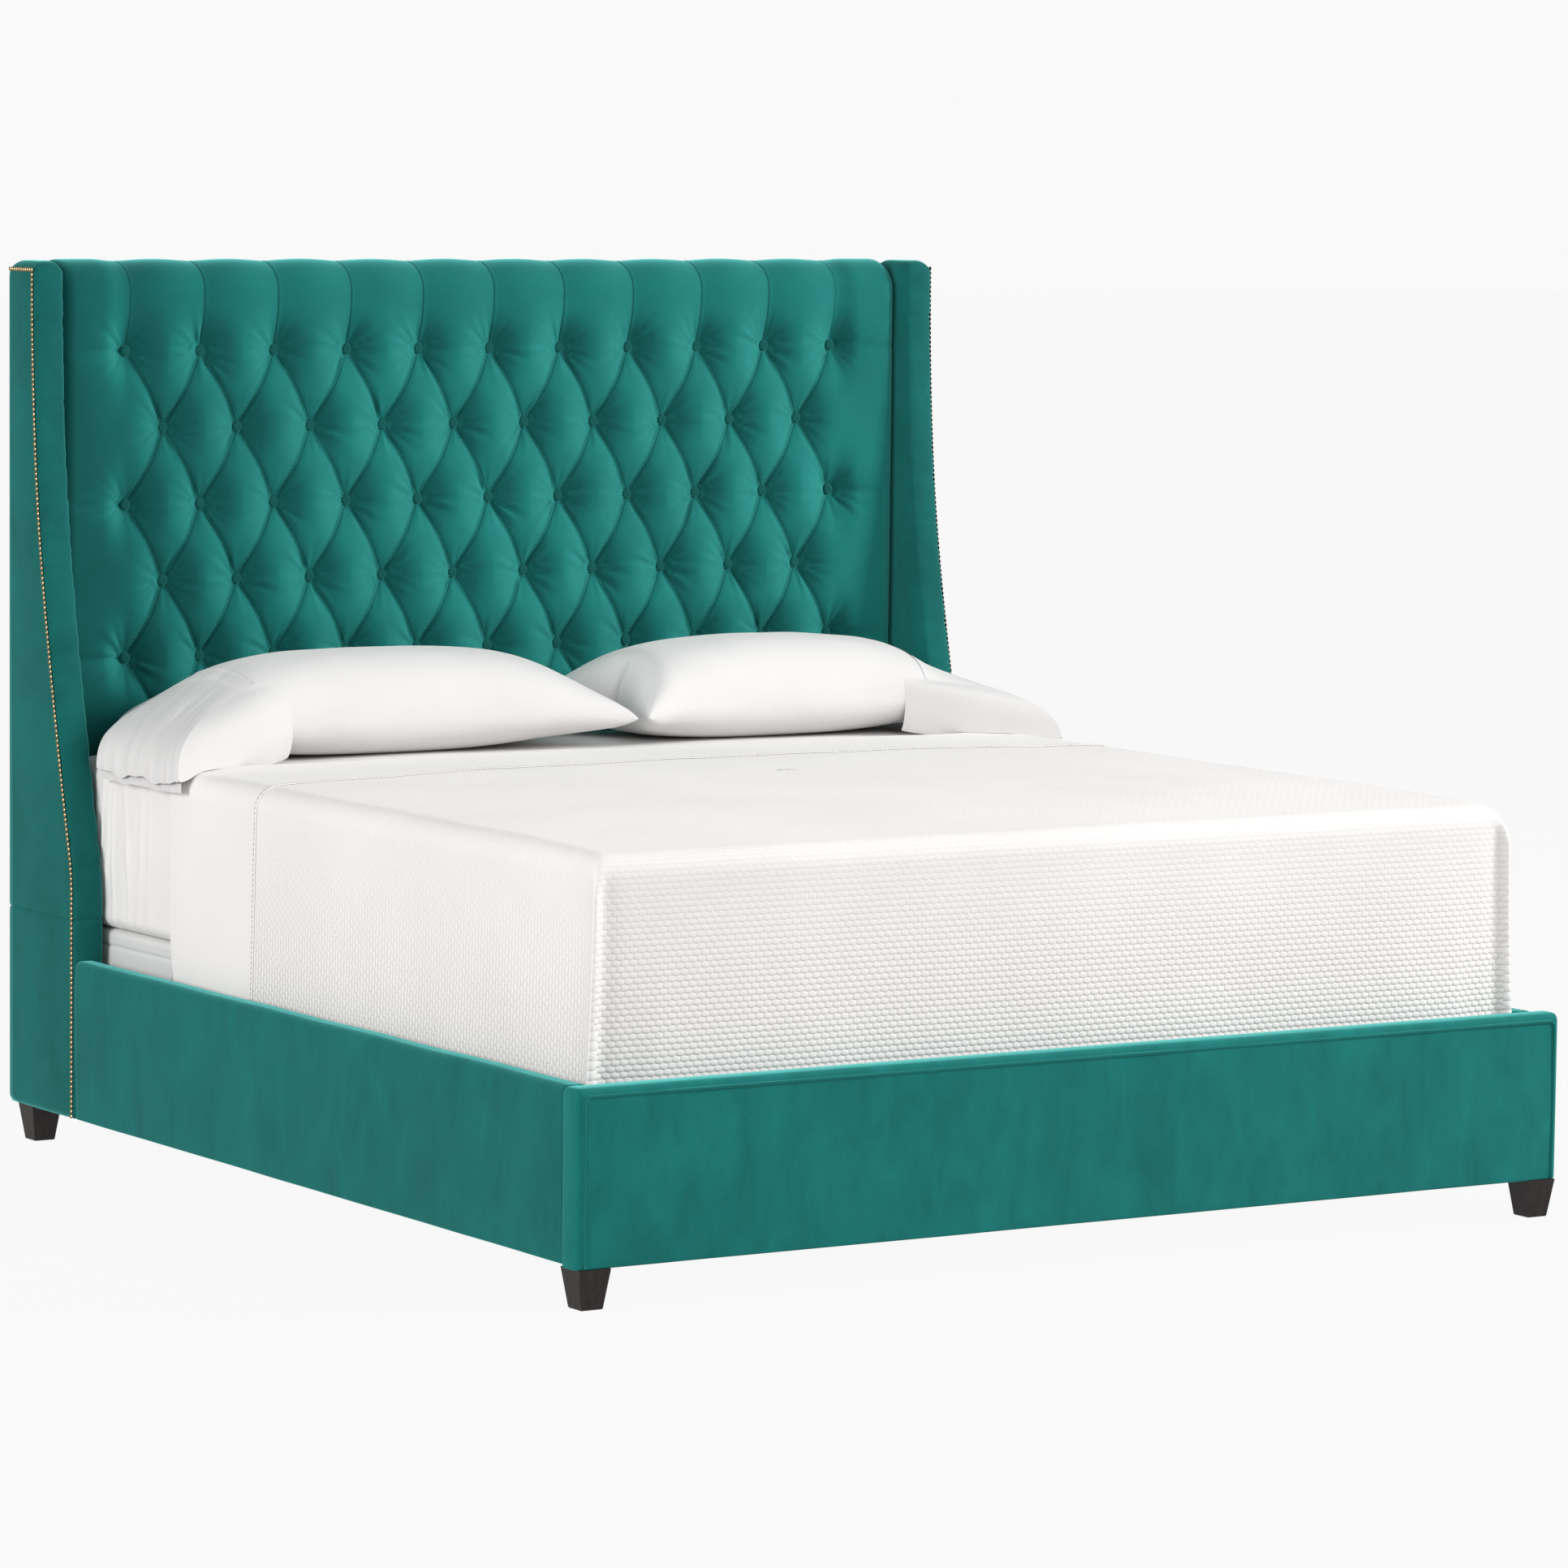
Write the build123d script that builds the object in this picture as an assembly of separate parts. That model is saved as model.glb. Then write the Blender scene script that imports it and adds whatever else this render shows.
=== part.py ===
from build123d import *
import os

# Upholstered wingback king bed with a deep-buttoned headboard, box spring, mattress and bedding.
# +X is to the right as seen from the foot, +Y is towards the head, +Z is up.
# The origin is on the floor, under the centre of the bed. All sizes are in millimetres.

# ---- driving dimensions ----
LENGTH = 2210.0
HEIGHT = 1700.0
FOOTBOARD_WIDTH = 2080.0
WING_WIDTH = 2056.0
RAIL_WIDTH = 2052.0
FLOOR_GAP = 70.0
RAIL_TOP = 374.0
SKIN = 3.0

HEAD_Y = LENGTH / 2
FOOT_Y = -LENGTH / 2
WING_OUT = WING_WIDTH / 2
WING_THICK = 70.0
WING_IN = WING_OUT - WING_THICK
WING_TOP = 1694.0
WING_DEPTH = 282.0

BACK_COVER = 3.0
PAD_HALF = WING_IN - 3.0
PAD_DEPTH = 88.0
PAD_ROLL = 58.0
PAD_BOTTOM = 72.0
PAD_FRONT = HEAD_Y - PAD_DEPTH
FRAME_BACK = HEAD_Y - BACK_COVER
FRAME_FRONT = FRAME_BACK - 30.0
BOARD_FRONT = FRAME_FRONT - 12.0
FRAME_TOP = HEIGHT - 45.0

BUTTON_ROWS = 6
BUTTON_TOP_ROW = 1527.0
BUTTON_ROW_PITCH = 149.0
BUTTON_PITCH = 161.7
BUTTON_COLUMNS = 11
BUTTON_R = 12.0
BUTTON_DEEP = 8.0
BUTTON_FACE_DEPTH = 22.0
WELL_R = 13.5

NAIL_R = 4.5
NAIL_HEIGHT = 2.4
NAIL_PITCH = 9.5
NAIL_INSET = 5.5
NAIL_SEAT = 0.05

RAIL_OUT = RAIL_WIDTH / 2
RAIL_THICK = 44.0
RAIL_IN = RAIL_OUT - RAIL_THICK
RAIL_HEAD = HEAD_Y - WING_DEPTH - 0.5
FOOTBOARD_THICK = 58.0
FOOTBOARD_BACK = FOOT_Y + FOOTBOARD_THICK
RAIL_FOOT = FOOTBOARD_BACK + 0.5
FOOTBOARD_HALF = FOOTBOARD_WIDTH / 2
WELT_R = 3.0
FOOTBOARD_FACE = FOOT_Y + WELT_R

FOOT_TOP_SIZE = 62.0
FOOT_BASE_SIZE = 42.0
FRONT_FOOT = (FOOTBOARD_HALF - 36.0, FOOT_Y + 33.0)
BACK_FOOT = (WING_OUT - 36.0, HEAD_Y - 66.0)

SLAT_TOP = 205.0
SLAT_THICK = 20.0
SLAT_WIDTH = 90.0
SLAT_Y = [-960.0, -526.0, -92.0, 342.0, 776.0]
LEDGER_HEIGHT = 40.0
LEDGER_WIDE = 34.0
BEAM_WIDE = 40.0
BEAM_HEIGHT = 60.0
BEAM_TOP = SLAT_TOP - SLAT_THICK
LEG_Y = {"head": 420.0, "foot": -310.0}
LEG_R = 16.0
LEG_BOTTOM = 26.0
STEM_R = 5.0

FOUNDATION_HALF = 952.0
FOUNDATION_FOOT = -1018.0
FOUNDATION_HEAD = 1006.0
FOUNDATION_BOTTOM = SLAT_TOP + 0.3
FOUNDATION_TOP = 432.0

CORE_HALF = 950.0
CORE_FOOT = -1017.0
CORE_HEAD = 1007.0
CORE_BOTTOM = 434.5
CORE_TOP = 748.0
TICKING = 2.0
SHEET = 1.5
COVERLET = 6.0
FOLD_Y = 550.0
CUFF_Y = 195.0
COVERLET_HEM = 330.0

PILLOW_DEPTH = 434.0
PILLOW_THICK = 206.0
PILLOW_FRONT = 566.0
PILLOW_ENDS = {"left": (-852.0, 46.0), "right": (50.0, 892.0)}
FLAP_Y = (470.0, 800.0)
FLAP_OUTLINE = [
    (850.0, 850.0), (955.0, 790.0), (984.0, 768.0), (986.0, 727.0),
    (981.0, 727.0), (979.0, 766.0), (953.0, 785.0), (850.0, 845.0),
]


# ---- helpers ----
def box(x0, x1, y0, y1, z0, z1):
    """A box between two opposite corners."""
    return Pos((x0 + x1) / 2, (y0 + y1) / 2, (z0 + z1) / 2) * Box(x1 - x0, y1 - y0, z1 - z0)


def rod(start, direction, length, radius):
    """A round rod that starts at a point and runs in a direction."""
    return Plane(origin=start, z_dir=direction) * Cylinder(
        radius, length, align=(Align.CENTER, Align.CENTER, Align.MIN)
    )


def solids_of(shapes):
    """Every solid in a list of shapes."""
    return [solid for shape in shapes for solid in shape.solids()]


def save(name, *shapes):
    """Write one sub-part as a STEP file."""
    solids = solids_of(shapes)
    shape = solids[0] if len(solids) == 1 else Compound(children=solids)
    export_step(shape, f"parts/{name}.step")


def save_pair(name, *shapes):
    """Write the left piece and its mirror image on the right."""
    save(f"{name}_left", *shapes)
    save(f"{name}_right", *[mirror(solid, about=Plane.YZ) for solid in solids_of(shapes)])


def both_sides(shapes):
    """The left shapes and their mirror images."""
    return list(shapes) + [mirror(shape, about=Plane.YZ) for shape in shapes]


def rounded_block(half, y0, y1, z0, z1, corner, top, bottom):
    """A block centred on X with rounded upright corners and rounded top and bottom edges."""
    block = box(-half, half, y0, y1, z0, z1)
    block = fillet(block.edges().filter_by(Axis.Z), corner)
    if top:
        block = fillet(block.faces().sort_by(Axis.Z)[-1].edges(), top)
    if bottom:
        block = fillet(block.faces().sort_by(Axis.Z)[0].edges(), bottom)
    return block


# ---- headboard ----
def button_places():
    """Centres of the buttons in X and Z, row by row, with every second row shifted half a pitch."""
    places = []
    for row in range(BUTTON_ROWS):
        count = BUTTON_COLUMNS - row % 2
        z = BUTTON_TOP_ROW - row * BUTTON_ROW_PITCH
        places += [((i - (count - 1) / 2) * BUTTON_PITCH, z) for i in range(count)]
    return places


def holes(radius, y0, y1):
    """Round holes through a layer of the headboard, one behind each button."""
    return [rod((x, y0, z), (0, 1, 0), y1 - y0, radius) for x, z in button_places()]


WING_BOLT_Z = [220.0, 740.0, 1110.0, 1500.0]
WING_BOLT_Y = FRAME_BACK - 15.0
BOLT_R = 4.0
BOLT_LENGTH = 70.0
BOLT_HEAD_R = 7.5
BOLT_HEAD_DEEP = 6.0
BOLT_START = -WING_IN - 26.0


def bolt_holes(radius):
    """Holes for the bolts that join the left wing to the headboard."""
    start = BOLT_START + BOLT_HEAD_DEEP - 3.0
    return [rod((start, WING_BOLT_Y, z), (1, 0, 0), BOLT_LENGTH + 10.0, radius) for z in WING_BOLT_Z]


def headboard_frame():
    """Wooden ladder frame: two stiles, four rails and short posts between the rails."""
    rail_z = [(PAD_BOTTOM, 152.0), (392.0, 472.0), (962.0, 1022.0), (FRAME_TOP - 60.0, FRAME_TOP)]
    stile = box(-PAD_HALF + SKIN, -PAD_HALF + 63.0, FRAME_FRONT, FRAME_BACK, PAD_BOTTOM, FRAME_TOP)
    stile -= bolt_holes(BOLT_R + 0.05)
    reach = PAD_HALF - 63.0
    rails = [box(-reach, reach, FRAME_FRONT, FRAME_BACK, low, high) for low, high in rail_z]
    posts = []
    for (_, low), (high, _) in zip(rail_z, rail_z[1:]):
        posts.append(box(-301.0, -263.0, FRAME_FRONT, FRAME_BACK, low, high))
    return both_sides([stile]) + rails + both_sides(posts)


def headboard_tuft_board():
    """Plywood board with a hole behind each button for its twine."""
    board = box(-PAD_HALF + SKIN, PAD_HALF - SKIN, BOARD_FRONT, FRAME_FRONT, PAD_BOTTOM, FRAME_TOP)
    return board - holes(4.0, BOARD_FRONT - 1, FRAME_FRONT + 1)


def pad_block(inset, back, low):
    """The pad's outer shape with its rolled top edge, drawn in by an inset."""
    half = PAD_HALF - inset
    block = box(-half, half, PAD_FRONT + inset, back, low, HEIGHT - inset)
    front_edge = block.edges().filter_by(Axis.X).group_by(Axis.Z)[-1].sort_by(Axis.Y)[0]
    return fillet(front_edge, PAD_ROLL - inset)


def headboard_foam():
    """Foam slab with a rolled top edge and a punched hole at each button."""
    slab = pad_block(SKIN, FRAME_BACK, PAD_BOTTOM)
    slab -= box(-WING_IN, WING_IN, BOARD_FRONT, FRAME_BACK + 1, PAD_BOTTOM - 1, FRAME_TOP)
    return slab - holes(WELL_R, PAD_FRONT, BOARD_FRONT + 1)


def headboard_cover():
    """Velvet cover over the front, top and sides, open at the back and at each button."""
    outer = pad_block(0.0, FRAME_BACK, PAD_BOTTOM)
    inner = pad_block(SKIN, FRAME_BACK + 1, PAD_BOTTOM - 1)
    side_holes = both_sides(bolt_holes(BOLT_R + 0.5))
    return outer - inner - holes(WELL_R, PAD_FRONT - 1, PAD_FRONT + SKIN + 1) - side_holes


def tuft_buttons():
    """Fabric-covered domed buttons, each sunk into its well."""
    face = PAD_FRONT + BUTTON_FACE_DEPTH
    blank = rod((0, 0, 0), (0, 1, 0), BUTTON_DEEP, BUTTON_R)
    button = fillet(blank.edges().sort_by(Axis.Y)[0], 6.0)
    return [Pos(x, face, z) * button for x, z in button_places()]


def tuft_twines():
    """Waxed twine from each button through the board to a washer on the board's back."""
    start = PAD_FRONT + BUTTON_FACE_DEPTH + BUTTON_DEEP
    twine = rod((0, start, 0), (0, 1, 0), FRAME_FRONT - start, 1.0)
    washer = rod((0, FRAME_FRONT, 0), (0, 1, 0), 2.0, 8.0)
    anchored = twine + washer
    return [Pos(x, 0, z) * anchored for x, z in button_places()]


def headboard_back_cover():
    """Fabric-covered panel that closes the back of the headboard."""
    return box(-PAD_HALF, PAD_HALF, FRAME_BACK, HEAD_Y, PAD_BOTTOM, HEIGHT - 2.0)


# ---- wings ----
def wing_front_points(inset):
    """Points of the wing's front edge in Y and Z, from the top down to where it turns upright."""
    outline = [(110.0, WING_TOP), (114.0, 1500.0), (144.0, 1172.0), (200.0, 883.0), (267.0, 600.0)]
    points = [(HEAD_Y - depth + inset, z) for depth, z in outline]
    return points + [(HEAD_Y - WING_DEPTH + inset, 500.0)]


def wing_slab(x0, x1, front, rim, bottom):
    """A slab with the wing's side shape, inset from the front, from the top and back, and at the bottom."""
    points = wing_front_points(front)
    curve = Spline(*points, tangents=[(0.0, -1.0), (0.0, -1.0)])
    back = HEAD_Y - rim
    low = FLOOR_GAP + bottom
    top = WING_TOP
    outline = curve + Polyline(points[-1], (points[-1][0], low), (back, low), (back, top), points[0])
    slab = extrude(Plane.YZ * make_face(outline), amount=x1 - x0)
    slab = Pos(x0, 0, 0) * slab
    if rim:
        slab -= box(x0 - 1, x1 + 1, 0, HEAD_Y + 1, WING_TOP - rim, WING_TOP + 1)
    return slab


WING_PANEL = 12.0
WING_CORE_OUT = WING_OUT - 8.0
WING_CORE_IN = WING_IN + 8.0
BATTEN_Z = [(75.0, 135.0), (560.0, 600.0), (900.0, 940.0), (1240.0, 1280.0), (1610.0, 1650.0)]


def wing_frame():
    """Two plywood panels with battens between them, for the left wing."""
    outer = wing_slab(-WING_CORE_OUT, -WING_CORE_OUT + WING_PANEL, 12.0, 7.0, 3.0)
    inner = wing_slab(-WING_CORE_IN - WING_PANEL, -WING_CORE_IN, 12.0, 7.0, 3.0)
    inner -= bolt_holes(BOLT_R + 0.5)
    x0 = -WING_CORE_OUT + WING_PANEL
    x1 = -WING_CORE_IN - WING_PANEL
    battens = [box(x0, x1, HEAD_Y - 97.0, HEAD_Y - 7.0, low, high) for low, high in BATTEN_Z]
    battens[0] -= foot_stud_hole(-BACK_FOOT[0], BACK_FOOT[1])
    return [outer, inner] + battens


def wing_foam():
    """Foam round the left wing's frame, thickest along the front edge."""
    padding = wing_slab(-WING_OUT + SKIN, -WING_IN - SKIN, SKIN, SKIN, 3.0)
    core = wing_slab(-WING_CORE_OUT, -WING_CORE_IN, 12.0, 7.0, -1.0)
    return padding - core - bolt_holes(BOLT_R + 0.5)


def wing_cover():
    """Velvet cover of the left wing, open underneath."""
    outer = wing_slab(-WING_OUT, -WING_IN, 0.0, 0.0, 0.0)
    front_edges = outer.faces().sort_by(Axis.X)[0].edges() + outer.faces().sort_by(Axis.X)[-1].edges()
    front_edges = [e for e in front_edges if e.center().Y < HEAD_Y - 60.0 and e.length > 300.0]
    outer = fillet(front_edges, 6.0)
    inner = wing_slab(-WING_OUT + SKIN, -WING_IN - SKIN, SKIN, SKIN, -1.0)
    return outer - inner - bolt_holes(BOLT_R + 0.5)


def nail_line():
    """The line of nail centres on the left wing's outer side, as a wire in Y and Z."""
    points = wing_front_points(NAIL_INSET)
    points[0] = (points[0][0], WING_TOP - 2 * NAIL_R)
    curve = Spline(*points, tangents=[(0.0, -1.0), (0.0, -1.0)])
    return curve + Line(points[-1], (points[-1][0], FLOOR_GAP + NAIL_R))


def nailhead_trim():
    """Domed brass nail heads down the front edge of the left wing and along its top."""
    dome_r = (NAIL_R**2 + NAIL_HEIGHT**2) / (2 * NAIL_HEIGHT)
    head = Pos(dome_r - NAIL_HEIGHT, 0, 0) * Sphere(dome_r) & box(-20, 0, -20, 20, -20, 20)
    line = nail_line()
    count = int(line.length // NAIL_PITCH)
    places = [line @ (i / count) for i in range(count + 1)]
    top = places[0].Y
    first = places[0].X
    run = int((HEAD_Y - NAIL_R - first) // NAIL_PITCH)
    places += [Vector(first + (i + 1) * NAIL_PITCH, top) for i in range(run)]
    return [Pos(-WING_OUT - NAIL_SEAT, place.X, place.Y) * head for place in places]


def wing_bolts():
    """Bolts from inside each wing into the headboard's stiles."""
    bolts = []
    for z in WING_BOLT_Z:
        head = rod((BOLT_START, WING_BOLT_Y, z), (1, 0, 0), BOLT_HEAD_DEEP, BOLT_HEAD_R)
        shank = rod((BOLT_START + BOLT_HEAD_DEEP, WING_BOLT_Y, z), (1, 0, 0), BOLT_LENGTH, BOLT_R)
        bolts.append(head + shank)
    return both_sides(bolts)


# ---- side rails ----
RAIL_BOARD_OUT = RAIL_OUT - 12.0
RAIL_BOARD_IN = RAIL_IN + SKIN


def rail_board():
    """Solid wood board inside the left side rail."""
    return box(-RAIL_BOARD_OUT, -RAIL_BOARD_IN, RAIL_FOOT, RAIL_HEAD, FLOOR_GAP + 2.0, RAIL_TOP - 10.0)


def rail_foam():
    """Foam on the outside and over the top of the left rail's board."""
    x0 = -RAIL_OUT + SKIN
    side = box(x0, -RAIL_BOARD_IN, RAIL_FOOT, RAIL_HEAD, FLOOR_GAP + 2.0, RAIL_TOP - SKIN)
    side = fillet(side.edges().filter_by(Axis.Y).group_by(Axis.Z)[-1].sort_by(Axis.X)[0], 9.0)
    return side - box(-RAIL_BOARD_OUT, 0, -LENGTH, LENGTH, 0, RAIL_TOP - 10.0)


def rail_cover():
    """Velvet over the left rail, open underneath."""
    outer = box(-RAIL_OUT, -RAIL_IN, RAIL_FOOT, RAIL_HEAD, FLOOR_GAP, RAIL_TOP)
    top_edges = outer.edges().filter_by(Axis.Y).group_by(Axis.Z)[-1].sort_by(Axis.X)
    outer = fillet(top_edges[0], 12.0)
    inner = box(-RAIL_OUT + SKIN, -RAIL_BOARD_IN, -LENGTH, LENGTH, 0, RAIL_TOP - SKIN)
    inner_edge = inner.edges().filter_by(Axis.Y).group_by(Axis.Z)[-1].sort_by(Axis.X)[0]
    return outer - fillet(inner_edge, 9.0)


def rail_ledger():
    """Strip along the inside of the left rail that carries the slats."""
    low = BEAM_TOP - LEDGER_HEIGHT
    return box(-RAIL_IN, -RAIL_IN + LEDGER_WIDE, RAIL_FOOT + 60.0, RAIL_HEAD - 60.0, low, BEAM_TOP)


HOOK_Z = (205.0, 325.0)
HOOK_PLATE = 3.0


def rail_end_plates(x0, x1):
    """A pair of plates across each rail's ends, one behind the other along X."""
    plates = []
    for y0, y1 in [(RAIL_HEAD - 50.0, RAIL_HEAD - 1.0), (RAIL_FOOT + 1.0, RAIL_FOOT + 50.0)]:
        plates.append(box(x0, x1, y0, y1, *HOOK_Z))
    return plates


def rail_hook_plates():
    """Steel plates on the inner faces of the rails, folded towards the headboard and footboard."""
    plates = rail_end_plates(-RAIL_IN, -RAIL_IN + HOOK_PLATE)
    x0, x1 = -RAIL_IN + HOOK_PLATE, -RAIL_IN + 19.0
    plates[0] += box(x0 - HOOK_PLATE, x1, RAIL_HEAD - 4.0, RAIL_HEAD - 1.0, *HOOK_Z)
    plates[1] += box(x0 - HOOK_PLATE, x1, RAIL_FOOT + 1.0, RAIL_FOOT + 4.0, *HOOK_Z)
    return both_sides(plates)


def rail_catch_plates():
    """Thin slotted steel plates on the wings and footboard that the hook plates bear on."""
    x0, x1 = -RAIL_IN + 1.0, -RAIL_IN + 19.0
    head = box(x0, x1, RAIL_HEAD - 1.0, RAIL_HEAD + 0.5, *HOOK_Z)
    foot = box(x0, x1, FOOTBOARD_BACK, RAIL_FOOT + 1.0, *HOOK_Z)
    return both_sides([head, foot])


def wood_screws():
    """Countersunk screws that hold the hook plates to the rails and the slats to the ledgers."""
    heads = []
    for y in (RAIL_HEAD - 28.0, RAIL_FOOT + 28.0):
        for z in (HOOK_Z[0] + 25.0, HOOK_Z[1] - 25.0):
            heads.append(rod((-RAIL_IN + HOOK_PLATE, y, z), (1, 0, 0), 1.6, 4.5))
    return both_sides(heads)


# ---- footboard ----
FOOTBOARD_BOARD_FRONT = FOOTBOARD_FACE + 13.0
FOOTBOARD_BOARD_BACK = FOOTBOARD_BACK - 12.0


def footboard_board():
    """Solid wood board inside the footboard."""
    half = FOOTBOARD_HALF - 12.0
    y0, y1 = FOOTBOARD_BOARD_FRONT, FOOTBOARD_BOARD_BACK
    board = box(-half, half, y0, y1, FLOOR_GAP + 2.0, RAIL_TOP - 10.0)
    return board - both_sides([foot_stud_hole(-FRONT_FOOT[0], FRONT_FOOT[1])])


def footboard_block(inset, low):
    """The footboard's outer shape, drawn in by an inset."""
    half = FOOTBOARD_HALF - inset
    block = box(-half, half, FOOTBOARD_FACE + inset, FOOTBOARD_BACK - inset, low, RAIL_TOP - inset)
    block = fillet(block.edges().filter_by(Axis.Z), 9.0 - inset)
    return fillet(block.faces().sort_by(Axis.Z)[-1].edges(), 9.0 - inset)


def footboard_foam():
    """Foam all round the footboard's board and over its top."""
    half = FOOTBOARD_HALF - 12.0
    core = box(-half, half, FOOTBOARD_BOARD_FRONT, FOOTBOARD_BOARD_BACK, 0, RAIL_TOP - 10.0)
    return footboard_block(SKIN, FLOOR_GAP + 2.0) - core


def footboard_cover():
    """Velvet over the footboard, open underneath."""
    return footboard_block(0.0, FLOOR_GAP) - footboard_block(SKIN, 0.0)


def footboard_welt():
    """Cord-filled welt round the edge of the footboard's front face."""
    half = FOOTBOARD_HALF - 13.0
    y = FOOTBOARD_FACE
    top = RAIL_TOP - 13.0
    low = FLOOR_GAP + WELT_R
    uprights = [rod((x, y, low), (0, 0, 1), top - low, WELT_R) for x in (-half, half)]
    cross = rod((-half, y, top), (1, 0, 0), 2 * half, WELT_R)
    corners = [Pos(x, y, top) * Sphere(WELT_R) for x in (-half, half)]
    welt = uprights[0] + uprights[1] + cross + corners[0] + corners[1]
    return welt - footboard_block(0.0, FLOOR_GAP)


# ---- feet ----
FOOT_PLACES = {
    "front_left": (-FRONT_FOOT[0], FRONT_FOOT[1]),
    "front_right": FRONT_FOOT,
    "back_left": (-BACK_FOOT[0], BACK_FOOT[1]),
    "back_right": BACK_FOOT,
}
STUD_R = 4.0
STUD_TOP = FLOOR_GAP + 45.0


def foot_stud_hole(x, y):
    """Hole for the stud above a foot."""
    return rod((x, y, FLOOR_GAP - 1.0), (0, 0, 1), STUD_TOP - FLOOR_GAP + 6.0, STUD_R + 0.05)


def foot(x, y):
    """A square wooden foot that tapers to the floor, with a hole for its stud."""
    base = Pos(x, y, 0) * Rectangle(FOOT_BASE_SIZE, FOOT_BASE_SIZE)
    top = Pos(x, y, FLOOR_GAP) * Rectangle(FOOT_TOP_SIZE, FOOT_TOP_SIZE)
    block = loft([base, top])
    block = chamfer(block.faces().sort_by(Axis.Z)[0].edges(), 1.5)
    return block - rod((x, y, 30.0), (0, 0, 1), FLOOR_GAP, STUD_R + 0.05)


def foot_studs():
    """Steel studs that screw each foot into the frame above it."""
    return [rod((x, y, 32.0), (0, 0, 1), STUD_TOP - 32.0, STUD_R) for x, y in FOOT_PLACES.values()]


# ---- slats and centre support ----
def slat(y):
    """One wooden slat from ledger to ledger."""
    half = RAIL_IN - 2.0
    plank = box(-half, half, y - SLAT_WIDTH / 2, y + SLAT_WIDTH / 2, SLAT_TOP - SLAT_THICK, SLAT_TOP)
    return fillet(plank.edges().filter_by(Axis.X).group_by(Axis.Z)[-1], 3.0)


def centre_beam():
    """Wooden beam under the middle of the slats."""
    y0, y1 = FOOTBOARD_BACK + HOOK_PLATE, PAD_FRONT - HOOK_PLATE
    return box(-BEAM_WIDE / 2, BEAM_WIDE / 2, y0, y1, BEAM_TOP - BEAM_HEIGHT, BEAM_TOP)


def beam_brackets():
    """Steel hangers that hold the beam's ends to the headboard and the footboard."""
    low = BEAM_TOP - BEAM_HEIGHT
    half = BEAM_WIDE / 2 + HOOK_PLATE
    hangers = []
    for wall, way in ((FOOTBOARD_BACK, 1), (PAD_FRONT, -1)):
        ys = sorted((wall, wall + way * HOOK_PLATE))
        reach = sorted((wall, wall + way * 50.0))
        plate = box(-half - 25.0, half + 25.0, *ys, low - HOOK_PLATE, BEAM_TOP)
        cradle = box(-half, half, *reach, low - HOOK_PLATE, BEAM_TOP - 10.0)
        room = sorted((wall + way * HOOK_PLATE, wall + way * 60.0))
        cradle -= box(-BEAM_WIDE / 2, BEAM_WIDE / 2, *room, low, BEAM_TOP)
        hangers.append(plate + cradle)
    return hangers


def centre_leg(y):
    """Steel tube leg with a top plate, under the centre beam."""
    under = BEAM_TOP - BEAM_HEIGHT
    tube = rod((0, y, LEG_BOTTOM), (0, 0, 1), under - LEG_BOTTOM, LEG_R)
    tube -= rod((0, y, LEG_BOTTOM + 10.0), (0, 0, 1), under - LEG_BOTTOM - 14.0, LEG_R - 2.0)
    plate = box(-BEAM_WIDE / 2, BEAM_WIDE / 2, y - 35.0, y + 35.0, under - 4.0, under)
    return tube + plate - rod((0, y, 0), (0, 0, 1), 80.0, STEM_R + 0.05)


def leveller(y):
    """Threaded leveller with a round pad, screwed up into a centre leg."""
    pad = rod((0, y, 0), (0, 0, 1), 7.0, 19.0)
    pad = chamfer(pad.edges().sort_by(Axis.Z)[-1], 2.0)
    return pad + rod((0, y, 6.0), (0, 0, 1), 50.0, STEM_R)


# ---- foundation ----
def foundation_inside():
    """The space inside the box spring's ticking."""
    half = FOUNDATION_HALF - TICKING
    y0, y1 = FOUNDATION_FOOT + TICKING, FOUNDATION_HEAD - TICKING
    return rounded_block(half, y0, y1, FOUNDATION_BOTTOM - 1, FOUNDATION_TOP - TICKING, 53.0, 14.0, 0)


def foundation_frame():
    """Wooden frame of the box spring, with cross boards."""
    half, z0, z1 = FOUNDATION_HALF - TICKING, FOUNDATION_BOTTOM + TICKING, FOUNDATION_BOTTOM + 78.0
    y0, y1 = FOUNDATION_FOOT + TICKING, FOUNDATION_HEAD - TICKING
    sides = [box(-half, -half + 25.0, y0, y1, z0, z1), box(half - 25.0, half, y0, y1, z0, z1)]
    ends = [box(-half + 25.0, half - 25.0, y, y + 25.0, z0, z1) for y in (y0, y1 - 25.0)]
    count = 9
    pitch = (y1 - y0 - 50.0) / count
    boards = []
    for i in range(count):
        middle = y0 + 25.0 + (i + 0.5) * pitch
        boards.append(box(-half + 25.0, half - 25.0, middle - 40.0, middle + 40.0, z1 - 18.0, z1))
    inside = foundation_inside()
    return [piece & inside for piece in sides + ends + boards]


def foundation_springs():
    """Springs standing on the cross boards, each as the thin tube that its coil fills."""
    y0, y1 = FOUNDATION_FOOT + TICKING + 25.0, FOUNDATION_HEAD - TICKING - 25.0
    rows, columns = 9, 8
    low = FOUNDATION_BOTTOM + 78.0
    high = FOUNDATION_TOP - TICKING - 0.5
    tube = rod((0, 0, low), (0, 0, 1), high - low, 38.0) - rod((0, 0, 0), (0, 0, 1), 500.0, 35.0)
    springs = []
    for i in range(rows):
        for j in range(columns):
            x = (j - (columns - 1) / 2) * 225.0
            y = y0 + (i + 0.5) * (y1 - y0) / rows
            springs.append(Pos(x, y, 0) * tube)
    return springs


def foundation_cover():
    """Ticking round the box spring, closed on top and open underneath."""
    outer = rounded_block(
        FOUNDATION_HALF, FOUNDATION_FOOT, FOUNDATION_HEAD, FOUNDATION_BOTTOM, FOUNDATION_TOP, 55.0, 16.0, 0
    )
    return outer - foundation_inside()


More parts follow.
